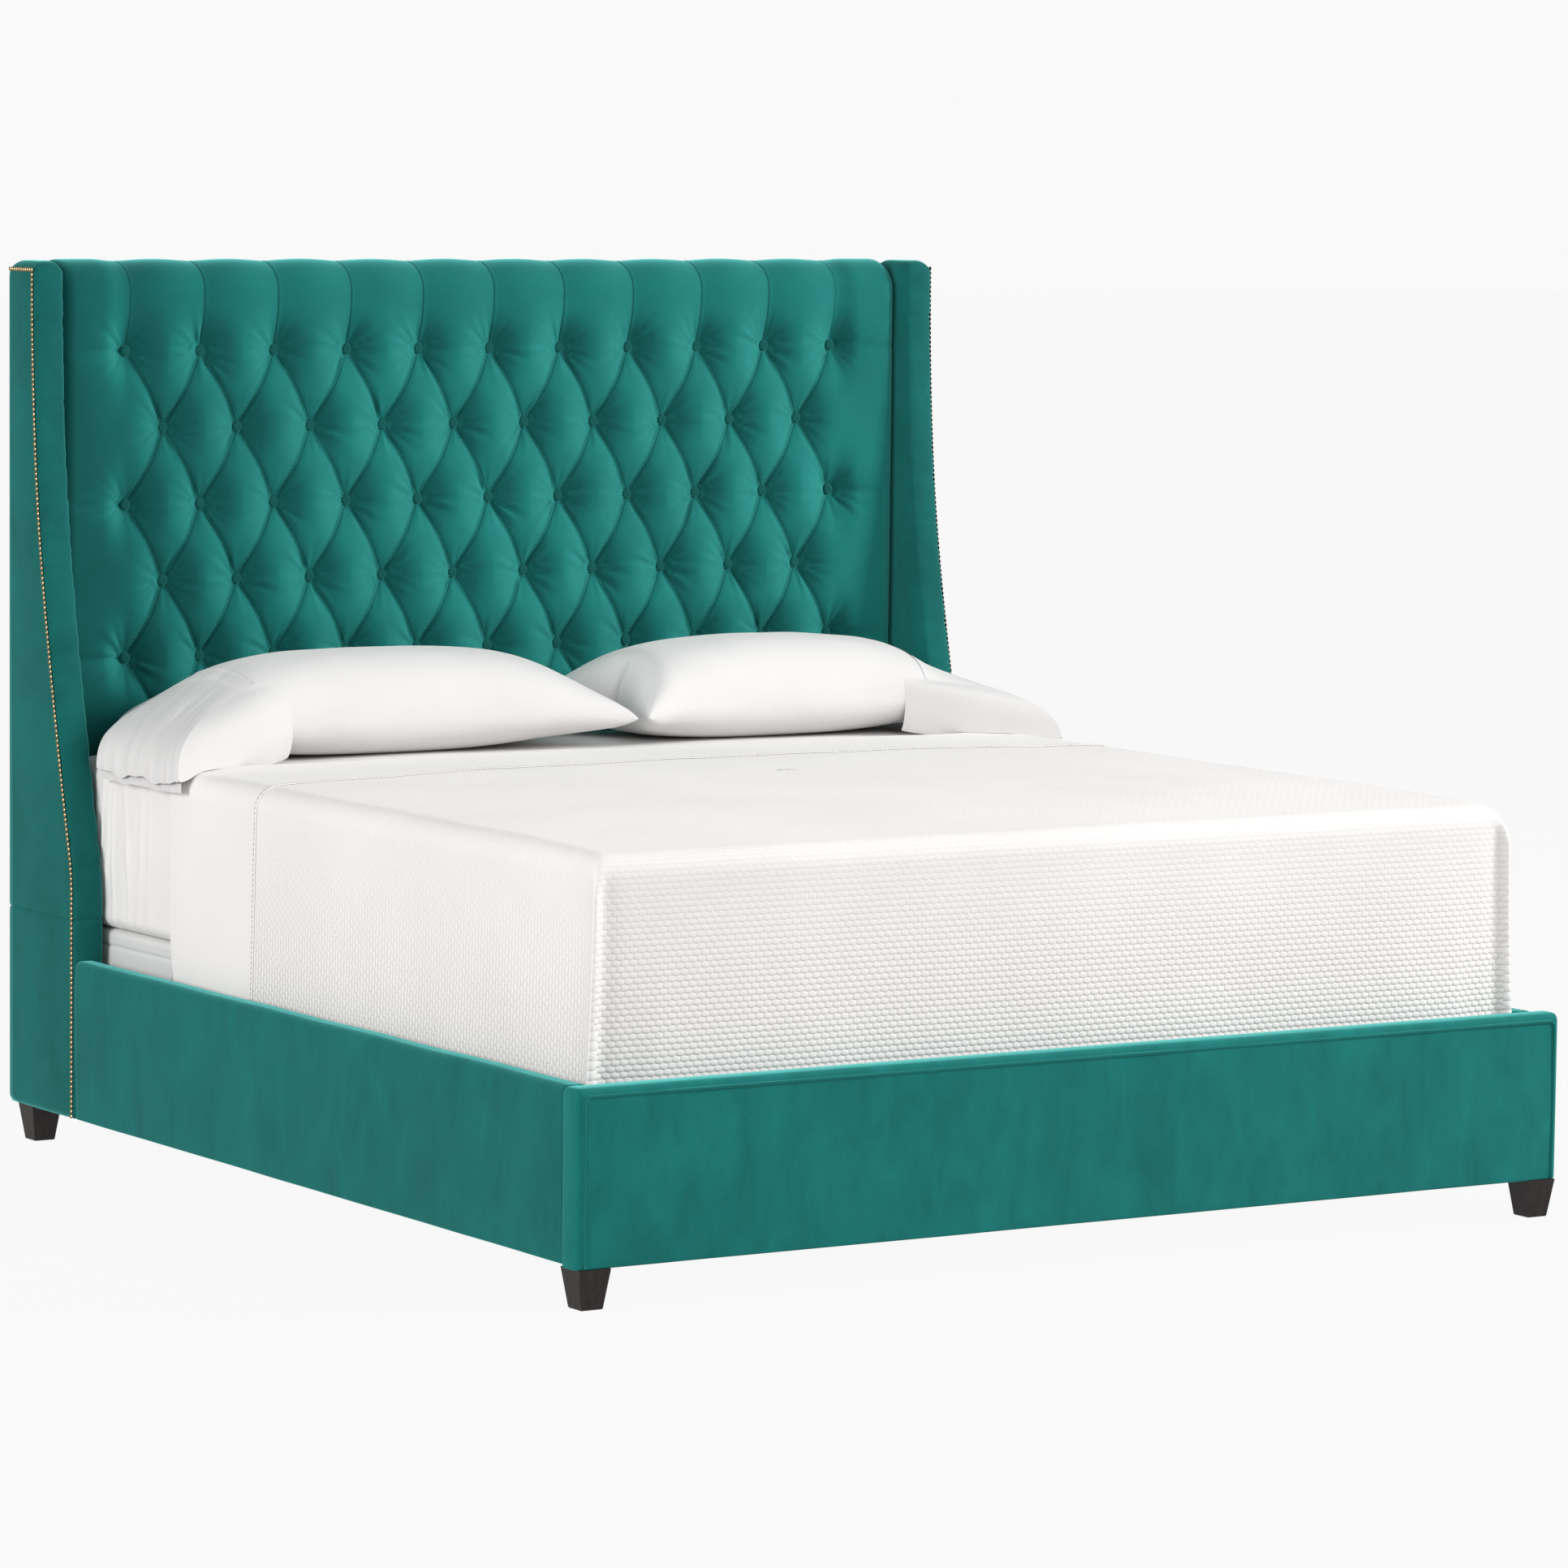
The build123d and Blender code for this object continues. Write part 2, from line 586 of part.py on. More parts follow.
# ---- mattress and bedding ----
MATTRESS_CORNER = 55.0
MATTRESS_TOP_EDGE = 24.0
MATTRESS_BOTTOM_EDGE = 20.0
PIPING_THICK = 1.4
PIPING_Z = (CORE_BOTTOM + 20.0, CORE_BOTTOM + 26.0)


def bed_layer(grow, low, bottom=0.0):
    """The mattress shape grown by a thickness."""
    half, y0, y1 = CORE_HALF + grow, CORE_FOOT - grow, CORE_HEAD + grow
    corner, edge = MATTRESS_CORNER + grow, MATTRESS_TOP_EDGE + grow
    return rounded_block(half, y0, y1, low, CORE_TOP + grow, corner, edge, bottom)


def mattress_core():
    """Spring unit and foam of the mattress, as one block."""
    return bed_layer(0.0, CORE_BOTTOM, MATTRESS_BOTTOM_EDGE)


def mattress_cover():
    """Knitted ticking all round the mattress."""
    outer = bed_layer(TICKING, CORE_BOTTOM - TICKING, MATTRESS_BOTTOM_EDGE + TICKING)
    return outer - mattress_core()


def mattress_piping():
    """Tape edge round the bottom of the mattress side."""
    band = bed_layer(TICKING + PIPING_THICK, 0.0) & box(-LENGTH, LENGTH, -LENGTH, LENGTH, *PIPING_Z)
    return band - bed_layer(TICKING, 0.0)


def fitted_sheet():
    """Fitted sheet over the top and sides of the mattress."""
    return bed_layer(TICKING + SHEET, PIPING_Z[1] + 1.0) - bed_layer(TICKING, 0.0)


def drape(inside, thick, low, y0, y1):
    """A layer of cloth over the bed, open underneath, cut to a stretch of its length."""
    outer = bed_layer(inside + thick, low) & box(-LENGTH, LENGTH, y0, y1, 0, HEIGHT)
    return outer - bed_layer(inside, 0.0)


def flat_sheet():
    """Flat sheet under the coverlet, folded back over its head end as a cuff."""
    inside = TICKING + SHEET
    under = drape(inside, SHEET, COVERLET_HEM + 60.0, -LENGTH, FOLD_Y)
    cuff = drape(inside + SHEET + COVERLET, SHEET, COVERLET_HEM, CUFF_Y, FOLD_Y)
    fold = drape(inside, SHEET * 2 + COVERLET, COVERLET_HEM + 60.0, FOLD_Y - SHEET, FOLD_Y)
    return under + cuff + fold


def coverlet():
    """Quilted coverlet over the foot two thirds of the bed."""
    inside = TICKING + SHEET * 2
    return drape(inside, COVERLET, COVERLET_HEM, -LENGTH, FOLD_Y - SHEET)


# ---- pillows ----
PILLOW_BASE = CORE_TOP + TICKING + SHEET + 0.5
PILLOW_CORNER = 60.0
PILLOW_EDGE = 58.0


def pillow(side, grow=0.0):
    """A fat rounded block for a stuffed pillow, grown by a thickness."""
    x0, x1 = PILLOW_ENDS[side]
    y0, y1 = PILLOW_FRONT - grow, PILLOW_FRONT + PILLOW_DEPTH + grow
    z0, z1 = PILLOW_BASE + SHEET - grow, PILLOW_BASE + PILLOW_THICK + grow
    block = fillet(box(x0 - grow, x1 + grow, y0, y1, z0, z1).edges().filter_by(Axis.Z), PILLOW_CORNER + grow)
    flat_faces = block.faces().sort_by(Axis.Z)
    return fillet(flat_faces[0].edges() + flat_faces[-1].edges(), PILLOW_EDGE + grow)


def hem_flap():
    """The open end of a pillowcase, hanging over the right edge of the bed."""
    profile = make_face(Polyline(*FLAP_OUTLINE, close=True))
    strip = extrude(Plane.XZ * profile, amount=FLAP_Y[1] - FLAP_Y[0])
    return Pos(0, FLAP_Y[1], 0) * strip


def pillowcase(side):
    """Case round a pillow, with its open hem flap at the outer end."""
    shell = pillow(side, SHEET) - pillow(side)
    flap = hem_flap() if side == "right" else mirror(hem_flap(), about=Plane.YZ)
    return shell + (flap - pillow(side, SHEET / 2))


def main():
    os.makedirs("parts", exist_ok=True)
    save("headboard_frame", *headboard_frame())
    save("headboard_tuft_board", headboard_tuft_board())
    save("headboard_foam", headboard_foam())
    save("headboard_cover", headboard_cover())
    save("tuft_buttons", *tuft_buttons())
    save("tuft_twines", *tuft_twines())
    save("headboard_back_cover", headboard_back_cover())
    save_pair("wing_frame", *wing_frame())
    save_pair("wing_foam", wing_foam())
    save_pair("wing_cover", wing_cover())
    save_pair("nailhead_trim", *nailhead_trim())
    save("wing_bolts", *wing_bolts())
    save_pair("rail_board", rail_board())
    save_pair("rail_foam", rail_foam())
    save_pair("rail_cover", rail_cover())
    save_pair("rail_ledger", rail_ledger())
    save("rail_hook_plates", *rail_hook_plates())
    save("rail_catch_plates", *rail_catch_plates())
    save("wood_screws", *wood_screws())
    save("footboard_board", footboard_board())
    save("footboard_foam", footboard_foam())
    save("footboard_cover", footboard_cover())
    save("footboard_welt", footboard_welt())
    for place, (x, y) in FOOT_PLACES.items():
        save(f"foot_{place}", foot(x, y))
    save("foot_studs", *foot_studs())
    for number, y in enumerate(SLAT_Y, start=1):
        save(f"slat_{number}", slat(y))
    save("centre_beam", centre_beam())
    save("beam_brackets", *beam_brackets())
    for place, y in LEG_Y.items():
        save(f"centre_leg_{place}", centre_leg(y))
        save(f"leveller_{place}", leveller(y))
    save("foundation_frame", *foundation_frame())
    save("foundation_springs", *foundation_springs())
    save("foundation_cover", foundation_cover())
    save("mattress_core", mattress_core())
    save("mattress_cover", mattress_cover())
    save("mattress_piping", mattress_piping())
    save("fitted_sheet", fitted_sheet())
    save("flat_sheet", flat_sheet())
    save("coverlet", coverlet())
    for side in PILLOW_ENDS:
        save(f"pillow_{side}", pillow(side))
        save(f"pillowcase_{side}", pillowcase(side))


main()
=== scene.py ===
import math

import bpy
import numpy as np
from mathutils import Matrix, Vector


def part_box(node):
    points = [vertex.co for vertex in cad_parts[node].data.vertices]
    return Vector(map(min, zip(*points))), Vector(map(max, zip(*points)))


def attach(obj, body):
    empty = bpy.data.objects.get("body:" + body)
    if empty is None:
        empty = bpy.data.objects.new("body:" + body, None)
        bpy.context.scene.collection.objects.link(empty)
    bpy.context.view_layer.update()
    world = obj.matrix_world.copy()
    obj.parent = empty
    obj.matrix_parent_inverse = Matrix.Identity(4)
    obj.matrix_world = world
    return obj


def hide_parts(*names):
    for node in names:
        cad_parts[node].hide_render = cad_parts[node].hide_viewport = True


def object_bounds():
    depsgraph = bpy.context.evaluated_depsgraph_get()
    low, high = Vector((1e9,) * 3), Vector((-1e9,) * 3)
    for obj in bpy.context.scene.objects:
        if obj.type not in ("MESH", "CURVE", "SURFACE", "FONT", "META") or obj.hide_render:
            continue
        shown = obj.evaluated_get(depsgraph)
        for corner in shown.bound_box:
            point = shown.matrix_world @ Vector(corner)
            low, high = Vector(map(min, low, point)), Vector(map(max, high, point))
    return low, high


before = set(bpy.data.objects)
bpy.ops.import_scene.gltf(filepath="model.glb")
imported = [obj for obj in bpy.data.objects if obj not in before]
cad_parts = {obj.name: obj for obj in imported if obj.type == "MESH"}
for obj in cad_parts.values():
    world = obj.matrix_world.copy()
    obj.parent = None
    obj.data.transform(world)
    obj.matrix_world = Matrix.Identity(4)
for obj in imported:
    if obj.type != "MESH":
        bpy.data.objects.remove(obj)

CAD_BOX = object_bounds()

# ---- sizes, in metres, that follow the frame ----
HIGH = CAD_BOX[1]
PAD_LOW, PAD_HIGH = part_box("headboard_cover")
HANDS = ((-1, "left"), (1, "right"))
SEEDS = {
    "gathers": 11, "pad": 5, "panel": 8, "wing": 3, "rail": 21, "rail top": 22, "footboard": 31,
    "bedding": 51, "sheet side": 61, "sheet top": 63, "pillow": 7,
}


# ---- small helpers ----
def new_object(name, points, faces):
    """A smooth-shaded mesh object from points and faces."""
    mesh = bpy.data.meshes.new(name)
    mesh.from_pydata([tuple(p) for p in points], [], faces)
    mesh.validate()
    mesh.polygons.foreach_set("use_smooth", [True] * len(mesh.polygons))
    mesh.update()
    obj = bpy.data.objects.new(name, mesh)
    bpy.context.scene.collection.objects.link(obj)
    return obj


def grid_faces(rows, columns, wrap=False, flip=False, start=0):
    """Quads over a grid of points, row by row, joined round along the columns if wrap is set."""
    faces = []
    last = columns if wrap else columns - 1
    for i in range(rows - 1):
        for j in range(last):
            k = (j + 1) % columns
            quad = (i * columns + j, i * columns + k, (i + 1) * columns + k, (i + 1) * columns + j)
            quad = tuple(start + q for q in quad)
            faces.append(quad[::-1] if flip else quad)
    return faces


def grid_object(name, points, wrap=False):
    """An object from a (rows, columns, 3) array of points."""
    return new_object(name, points.reshape(-1, 3), grid_faces(*points.shape[:2], wrap))


def loft_object(name, loops, flip=False):
    """A closed object from a stack of closed loops, each with the same number of points."""
    loops = np.array(loops)
    rows, columns = loops.shape[:2]
    first = tuple(range(columns))
    last = tuple((rows - 1) * columns + j for j in range(columns))
    faces = grid_faces(rows, columns, wrap=True, flip=flip)
    faces += [first, last[::-1]] if flip else [first[::-1], last]
    return new_object(name, loops.reshape(-1, 3), faces)


def smoothstep(x, low, high):
    """0 below low, 1 above high, and a smooth ramp between."""
    t = np.clip((np.asarray(x, float) - low) / (high - low), 0.0, 1.0)
    return t * t * (3 - 2 * t)


def noise(x, y, scale, seed, octaves=3):
    """Smooth repeatable noise over two coordinates, about -1 to 1."""
    rng = np.random.default_rng(seed)
    total = np.zeros(np.broadcast(x, y).shape)
    weight = 1.0
    for octave in range(octaves):
        for _ in range(5):
            angle, phase = rng.uniform(0, 2 * math.pi, 2)
            k = 2 * math.pi / scale * 2**octave * rng.uniform(0.6, 1.4)
            total = total + weight * np.sin(k * (x * math.cos(angle) + y * math.sin(angle)) + phase)
        weight *= 0.5
    return total / 5.0


def wobble(x, y, scale, seed):
    """Smooth repeatable noise at one point."""
    return float(noise(np.array(x), np.array(y), scale, seed, 2))


def quarter_turn(steps=8, quarter=0):
    """Cosine and sine of even angles through one quarter of a circle."""
    angles = [(quarter + i / steps) * math.pi / 2 for i in range(steps + 1)]
    return [(math.cos(a), math.sin(a)) for a in angles]


def between(first, last, steps):
    """Points part of the way along the straight line from one point to another."""
    return [(first[0] + (last[0] - first[0]) * t, first[1] + (last[1] - first[1]) * t) for t in steps]


def rounding(edge, radius):
    """How far a rounded edge draws in, at some distance from that edge."""
    return radius * (1 - math.sqrt(max(0.0, 1 - (1 - min(1.0, edge / radius)) ** 2)))


def place(obj, material, body, slot, *nodes):
    """Paints a piece, fixes it to a body, and lets it stand for some CAD nodes. The slot is not used."""
    obj.data.materials.clear()
    obj.data.materials.append(material)
    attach(obj, body)
    if nodes:
        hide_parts(*nodes)


# ---- materials ----
class Nodes:
    """Short calls for building one material's node tree."""

    def __init__(self, name):
        self.material = bpy.data.materials.new(name)
        self.material.use_nodes = True
        self.tree = self.material.node_tree
        self.shader = self.tree.nodes["Principled BSDF"]
        self.space = self.tree.nodes.new("ShaderNodeTexCoord").outputs["Object"]

    def add(self, kind, **values):
        """A new node with some of its settings."""
        node = self.tree.nodes.new(kind)
        for name, value in values.items():
            setattr(node, name, value)
        return node

    def feed(self, socket, value):
        """Sets a socket to a number or a colour, or links another socket to it."""
        if isinstance(value, (int, float)):
            socket.default_value = value
        elif isinstance(value, tuple):
            socket.default_value = (*value, 1)
        else:
            self.tree.links.new(value, socket)

    def noise(self, scale, detail=3.0, roughness=0.5, stretch=(1, 1, 1), rotation=(0, 0, 0), distortion=0.0):
        """Noise in the object's space, stretched and turned."""
        mapping = self.add("ShaderNodeMapping")
        mapping.inputs["Scale"].default_value = stretch
        mapping.inputs["Rotation"].default_value = rotation
        self.feed(mapping.inputs["Vector"], self.space)
        node = self.add("ShaderNodeTexNoise")
        self.feed(node.inputs["Scale"], scale)
        self.feed(node.inputs["Detail"], detail)
        self.feed(node.inputs["Roughness"], roughness)
        self.feed(node.inputs["Distortion"], distortion)
        self.feed(node.inputs["Vector"], mapping.outputs["Vector"])
        return node.outputs["Fac"]

    def ramp(self, source, stops):
        """A colour ramp with (position, colour) stops."""
        node = self.add("ShaderNodeValToRGB")
        elements = node.color_ramp.elements
        while len(elements) < len(stops):
            elements.new(0.5)
        for element, (position, colour) in zip(elements, stops):
            element.position = position
            element.color = (*colour, 1)
        self.feed(node.inputs["Fac"], source)
        return node.outputs["Color"]

    def tones(self, source, low, high, colour, factor):
        """A ramp from a scaled colour up to the colour itself."""
        return self.ramp(source, [(low, scaled(colour, factor)), (high, colour)])

    def split(self, vector):
        """The coordinates of a vector."""
        node = self.add("ShaderNodeSeparateXYZ")
        self.feed(node.inputs["Vector"], vector)
        return node.outputs

    def math(self, operation, a, b=None, clamp=False):
        node = self.add("ShaderNodeMath", operation=operation, use_clamp=clamp)
        for socket, value in zip(node.inputs, (a, b)):
            if value is not None:
                self.feed(socket, value)
        return node.outputs[0]

    def over(self, a, b, slope):
        """0 where a is below b, and a ramp up to 1 above it."""
        return self.math("MULTIPLY", self.math("SUBTRACT", a, b), slope, clamp=True)

    def centred(self, value):
        """Where a value lies in its whole step, from -0.5 to 0.5."""
        return self.math("SUBTRACT", self.math("FRACT", value), 0.5)

    def mix(self, factor, a, b, blend="MIX"):
        """Mixes two colours."""
        node = self.add("ShaderNodeMix", data_type="RGBA", blend_type=blend)
        for index, value in ((0, factor), (6, a), (7, b)):
            self.feed(node.inputs[index], value)
        return node.outputs[2]

    def bump(self, height, distance, strength=1.0, normal=None):
        """A bumped normal, on top of another one if given."""
        node = self.add("ShaderNodeBump")
        self.feed(node.inputs["Strength"], strength)
        self.feed(node.inputs["Distance"], distance)
        self.feed(node.inputs["Height"], height)
        if normal is not None:
            self.feed(node.inputs["Normal"], normal)
        return node.outputs["Normal"]

    def set(self, **values):
        """Sets the shader's own sockets, with underscores for spaces in their names."""
        for name, value in values.items():
            self.feed(self.shader.inputs[name.replace("_", " ")], value)


def scaled(colour, factor):
    """A colour made darker or paler."""
    return tuple(c * factor for c in colour)


def grey(value):
    """A colour with the same value in all channels."""
    return (value,) * 3


# The button lattice: the spacing of the buttons, and the heights of their rows.
BUTTON_PITCH = 0.1617
ROW_PITCH = 0.149
BUTTON_ROWS = 6
TOP_ROW_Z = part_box("tuft_buttons")[1].z - 0.012
ROWS_Z = [TOP_ROW_Z - ROW_PITCH * i for i in range(BUTTON_ROWS)]
END_X = 5 * BUTTON_PITCH

# The velvet's middle colour, its painted light and shade from dark to pale with a warm painted highlight at
# the pale end, and the section of its tucks.
VELVET_MID = (0.0070, 0.148, 0.134)
PAINTED_LIGHT_STOPS = [(0.0, (0.42, 0.50, 0.52)), (0.5, (1.0, 1.0, 1.0)), (1.0, (2.6, 1.45, 1.42))]
TUCK_SPAN = 0.010
TUCK_PROFILE = [
    (0.0, grey(0.80)), (0.20, grey(0.86)), (0.34, grey(0.10)), (0.48, grey(0.66)), (0.62, grey(0.70)),
]
CHANNEL_PROFILE = [(0.0, grey(0.12)), (0.10, grey(0.22)), (0.24, grey(0.70))]
# Painted shade in the tuck and channel grooves and a painted highlight on the tucks' ridges, as colour
# factors over the tuck height.
TUCK_PAINTED_LIGHT = [(0.10, (0.44, 0.54, 0.55)), (0.70, (1.0, 1.0, 1.0)), (0.86, (1.9, 1.28, 1.26))]
TUCK_DEEP = 0.0016
MARGIN = 0.002
TOP_FADE = 0.70

def velvet(name, tone=1.0, marks=1.0, brush=(1, 1, 1), tufted=False, broad_scale=4.2):
    """Deep teal cotton velvet: fine pile, soft brushed marks and a pale sheen at the edges."""
    n = Nodes(name)
    broad = n.noise(broad_scale, 4.0, 0.55, brush, (0.3, 0.2, 0.5), 0.6)
    fine = n.noise(26.0, 4.0, 0.6, brush, (0.0, 0.3, 0.9), 0.4)
    pile = n.noise(900.0, 2.0, 0.6)
    base = n.ramp(broad, [
        (0.30, scaled(VELVET_MID, tone * (1 - 0.26 * marks))),
        (0.50, scaled(VELVET_MID, tone)),
        (0.72, scaled(VELVET_MID, tone * (1 + 0.30 * marks))),
    ])
    narrow = n.ramp(fine, [(0.32, grey(1 - 0.09 * marks)), (0.68, grey(1 + 0.09 * marks))])
    colour = n.mix(1.0, base, narrow, "MULTIPLY")
    speck = n.ramp(pile, [(0.30, grey(0.93)), (0.75, grey(1.06))])
    colour = n.mix(1.0, colour, speck, "MULTIPLY")
    soft = n.bump(fine, 0.0008, 0.3)
    if tufted:
        # Painted light and shade from the pad's shape multiply the colour, with a warm painted highlight on
        # the pale side.
        painted_light = n.add("ShaderNodeAttribute", attribute_name="painted_light").outputs["Fac"]
        colour = n.mix(1.0, colour, n.ramp(painted_light, PAINTED_LIGHT_STOPS), "MULTIPLY")
        tuck = tuck_height(n)
        # Painted shade in the tuck grooves and a painted highlight on their ridges.
        colour = n.mix(1.0, colour, n.ramp(tuck, TUCK_PAINTED_LIGHT), "MULTIPLY")
        soft = n.bump(tuck, TUCK_DEEP, 0.8, soft)
    n.set(Base_Color=colour)
    n.set(Roughness=0.88, Specular_IOR_Level=0.12)
    n.set(Sheen_Weight=0.80, Sheen_Roughness=0.38, Sheen_Tint=(0.22, 0.88, 0.83))
    n.set(Normal=n.bump(pile, 0.0005, 0.3, soft))
    return n.material


def tuck_height(n):
    """Fine double tucks along the diagonal folds, and single ones up the channels, as a height."""
    place_at = n.split(n.space)
    x, z = place_at["X"], place_at["Z"]
    width = n.math("ABSOLUTE", x)
    across = n.math("DIVIDE", x, BUTTON_PITCH)
    down = n.math("DIVIDE", n.math("SUBTRACT", ROWS_Z[0], z), 2 * ROW_PITCH)
    square = ROW_PITCH / math.hypot(ROW_PITCH, BUTTON_PITCH / 2) * BUTTON_PITCH / TUCK_SPAN

    def away(value, scale):
        """Distance from the nearest fold line, in spans of a tuck."""
        nearest = n.centred(n.math("ADD", value, 0.5))
        return n.math("MULTIPLY", n.math("ABSOLUTE", nearest), scale, clamp=True)

    rising = n.ramp(away(n.math("SUBTRACT", across, down), square), TUCK_PROFILE)
    falling = n.ramp(away(n.math("ADD", across, down), square), TUCK_PROFILE)
    below_top = n.over(ROWS_Z[0] - 4 * MARGIN, z, 120.0)
    above_low = n.over(z, ROWS_Z[-1] - MARGIN, 120.0)
    middle = n.over(END_X + MARGIN, width, 250.0)
    mask = n.math("MULTIPLY", n.math("MULTIPLY", below_top, above_low), middle)
    diagonal = n.mix(mask, grey(0.7), n.mix(1.0, rising, falling, "DARKEN"))
    channel = n.ramp(away(across, BUTTON_PITCH / TUCK_SPAN), CHANNEL_PROFILE)
    above_top = n.over(z, ROWS_Z[0] + 2 * MARGIN, 150.0)
    return n.mix(n.math("MULTIPLY", above_top, middle), diagonal, channel)


def cotton(name, colour, weave=1500.0, crease=0.0015):
    """Plain woven cotton with a fine thread texture and soft creases."""
    n = Nodes(name)
    n.set(Base_Color=n.tones(n.noise(3.0, 4.0, 0.55), 0.35, 0.65, colour, 0.955))
    n.set(Roughness=0.88, Specular_IOR_Level=0.2)
    n.set(Sheen_Weight=0.15, Sheen_Roughness=0.5)
    threads = n.noise(weave, 1.0, 0.5, (1, 1, 0.25))
    cross = n.noise(weave, 1.0, 0.5, (0.25, 1, 1))
    both = n.math("ADD", threads, cross)
    soft = n.bump(n.noise(16.0, 4.0, 0.55, (1, 1, 0.7), (0.3, 0.2, 0.4), 0.6), crease, 0.45)
    n.set(Normal=n.bump(both, 0.00025, 0.4, soft))
    return n.material


def matelasse(name, colour, along, across):
    """Quilted cotton with staggered oval puffs, laid out in the cloth's own coordinates, and painted shade
    between the puffs, stronger down the hanging sides.
    """
    n = Nodes(name)
    cloth = n.split(n.add("ShaderNodeUVMap", uv_map="cloth").outputs["UV"])
    u = n.math("DIVIDE", cloth["X"], across)
    v = n.math("DIVIDE", cloth["Y"], along)
    odd = n.math("MULTIPLY", n.math("MODULO", n.math("FLOOR", v), 2.0), 0.5)
    cell_u = n.centred(n.math("ADD", u, odd))
    cell_v = n.centred(v)
    uu = n.math("MULTIPLY", n.math("MULTIPLY", cell_u, cell_u), 3.2)
    vv = n.math("MULTIPLY", n.math("MULTIPLY", cell_v, cell_v), 3.6)
    puff = n.math("SUBTRACT", 1.0, n.math("ADD", uu, vv), clamp=True)
    rise = n.math("POWER", puff, 0.6)
    base = n.tones(n.noise(2.5, 4.0, 0.55), 0.35, 0.65, colour, 0.95)
    low_down = n.over(TOP_FADE, n.split(n.space)["Z"], 3.2)
    rise = n.math("MULTIPLY", rise, n.math("ADD", n.math("MULTIPLY", low_down, 0.72), 0.28))
    # Painted shade between the puffs, from nothing at TOP_FADE to full lower down the hanging cloth.
    shade = n.math("MULTIPLY", n.math("SUBTRACT", 0.5, rise), low_down, clamp=True)
    seam = n.ramp(shade, [(0.05, (1.0, 1.0, 1.0)), (0.50, (0.925, 0.91, 0.895))])
    n.set(Base_Color=n.mix(1.0, base, seam, "MULTIPLY"))
    n.set(Roughness=0.9, Specular_IOR_Level=0.18)
    n.set(Sheen_Weight=0.18, Sheen_Roughness=0.5)
    coarse = n.bump(rise, 0.0030, 0.75)
    n.set(Normal=n.bump(n.noise(1300.0, 1.0, 0.5), 0.0003, 0.4, coarse))
    return n.material


def wood(name, dark, pale, gloss, grain=1.0, axis=(1, 1, 1)):
    """Wood with long grain lines along the short scale of axis."""
    n = Nodes(name)
    rings = n.noise(14.0 * grain, 6.0, 0.62, axis, (0.05, 0.03, 0.0), 0.8)
    pores = n.noise(220.0 * grain, 2.0, 0.5, axis)
    n.set(Base_Color=n.ramp(rings, [(0.32, dark), (0.68, pale)]), Roughness=gloss, Specular_IOR_Level=0.42)
    n.set(Normal=n.bump(pores, 0.0004, 0.35))
    return n.material


def metal(name, colour, rough, worn=0.2):
    """Metal with small uneven tone and fine scratches."""
    n = Nodes(name)
    n.set(Base_Color=n.tones(n.noise(140.0, 3.0, 0.6), 0.35, 0.70, colour, 1 - worn))
    n.set(Metallic=1.0, Roughness=rough)
    n.set(Normal=n.bump(n.noise(700.0, 2.0, 0.5), 0.0001, 0.3))
    return n.material


# One velvet in lit and shaded copies: painted shade makes the wings, lower panel, rails and buttons darker
# than the tufted pad, and painted light makes the footboard paler.
VELVET = velvet("teal_velvet", 0.74, 0.6, (1.4, 1.4, 0.8), broad_scale=6.5)
VELVET_PAD = velvet("tufted_velvet", 1.0, 0.35, tufted=True)
VELVET_RAIL = velvet("rail_velvet", 0.84, 0.55, (1.6, 1.6, 0.7), broad_scale=8.0)
VELVET_BUTTON = velvet("button_velvet", 0.55, 0.3)
VELVET_FOOT = velvet("footboard_velvet", 1.08, 0.55, (1.6, 1.6, 0.7), broad_scale=8.0)
VELVET_WELT = velvet("teal_welt", 0.95, 0.3)
LINING = velvet("back_lining", 0.9, 0.5)
SHEET = cotton("sheet_cotton", (0.885, 0.86, 0.845))
PILLOWCASE = cotton("pillowcase_cotton", (0.735, 0.725, 0.72), crease=0.0022)
TICKING = cotton("ticking_white", (0.74, 0.735, 0.725), 700.0)
TAPE = cotton("tape_edge", (0.42, 0.35, 0.29), 500.0)
COVERLET = matelasse("matelasse_cotton", (0.885, 0.857, 0.840), 0.0105, 0.0165)
ESPRESSO = wood("espresso_wood", (0.012, 0.008, 0.008), (0.030, 0.021, 0.020), 0.36, 1.5, (6, 6, 1))
PINE = wood("pine", (0.42, 0.27, 0.13), (0.62, 0.45, 0.26), 0.7, 1.0, (1, 5, 8))
PLYWOOD = wood("plywood", (0.36, 0.24, 0.13), (0.52, 0.38, 0.23), 0.7, 0.8, (1, 6, 2))
BRASS = metal("antique_brass", (0.62, 0.47, 0.26), 0.36, 0.45)
ZINC = metal("zinc_steel", (0.60, 0.61, 0.62), 0.4)
SPRING = metal("spring_steel", (0.42, 0.42, 0.43), 0.35)
BLACK = metal("black_steel", (0.025, 0.025, 0.027), 0.45)
TWINE = cotton("waxed_twine", (0.58, 0.50, 0.36), 900.0)
STITCH = cotton("stitch_thread", (0.62, 0.57, 0.52), 900.0)

for material, starts in (
    (PINE, ("headboard_frame", "rail_board", "rail_ledger", "footboard_board", "centre_beam", "slat_",
            "foundation_frame")),
    (PLYWOOD, ("headboard_tuft_board", "wing_frame")),
    (ESPRESSO, ("foot_front", "foot_back")),
    (VELVET_BUTTON, ("tuft_buttons",)),
    (LINING, ("headboard_back_cover",)),
    (TWINE, ("tuft_twines",)),
    (TAPE, ("mattress_piping",)),
    (SPRING, ("foundation_springs",)),
    (BRASS, ("nailhead_trim",)),
    (ZINC, ("wing_bolts", "rail_hook_plates", "rail_catch_plates", "wood_screws", "foot_studs", "leveller")),
    (BLACK, ("beam_brackets", "centre_leg")),
):
    for node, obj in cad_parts.items():
        if node.startswith(starts):
            for material_slot in obj.material_slots:
                material_slot.material = material


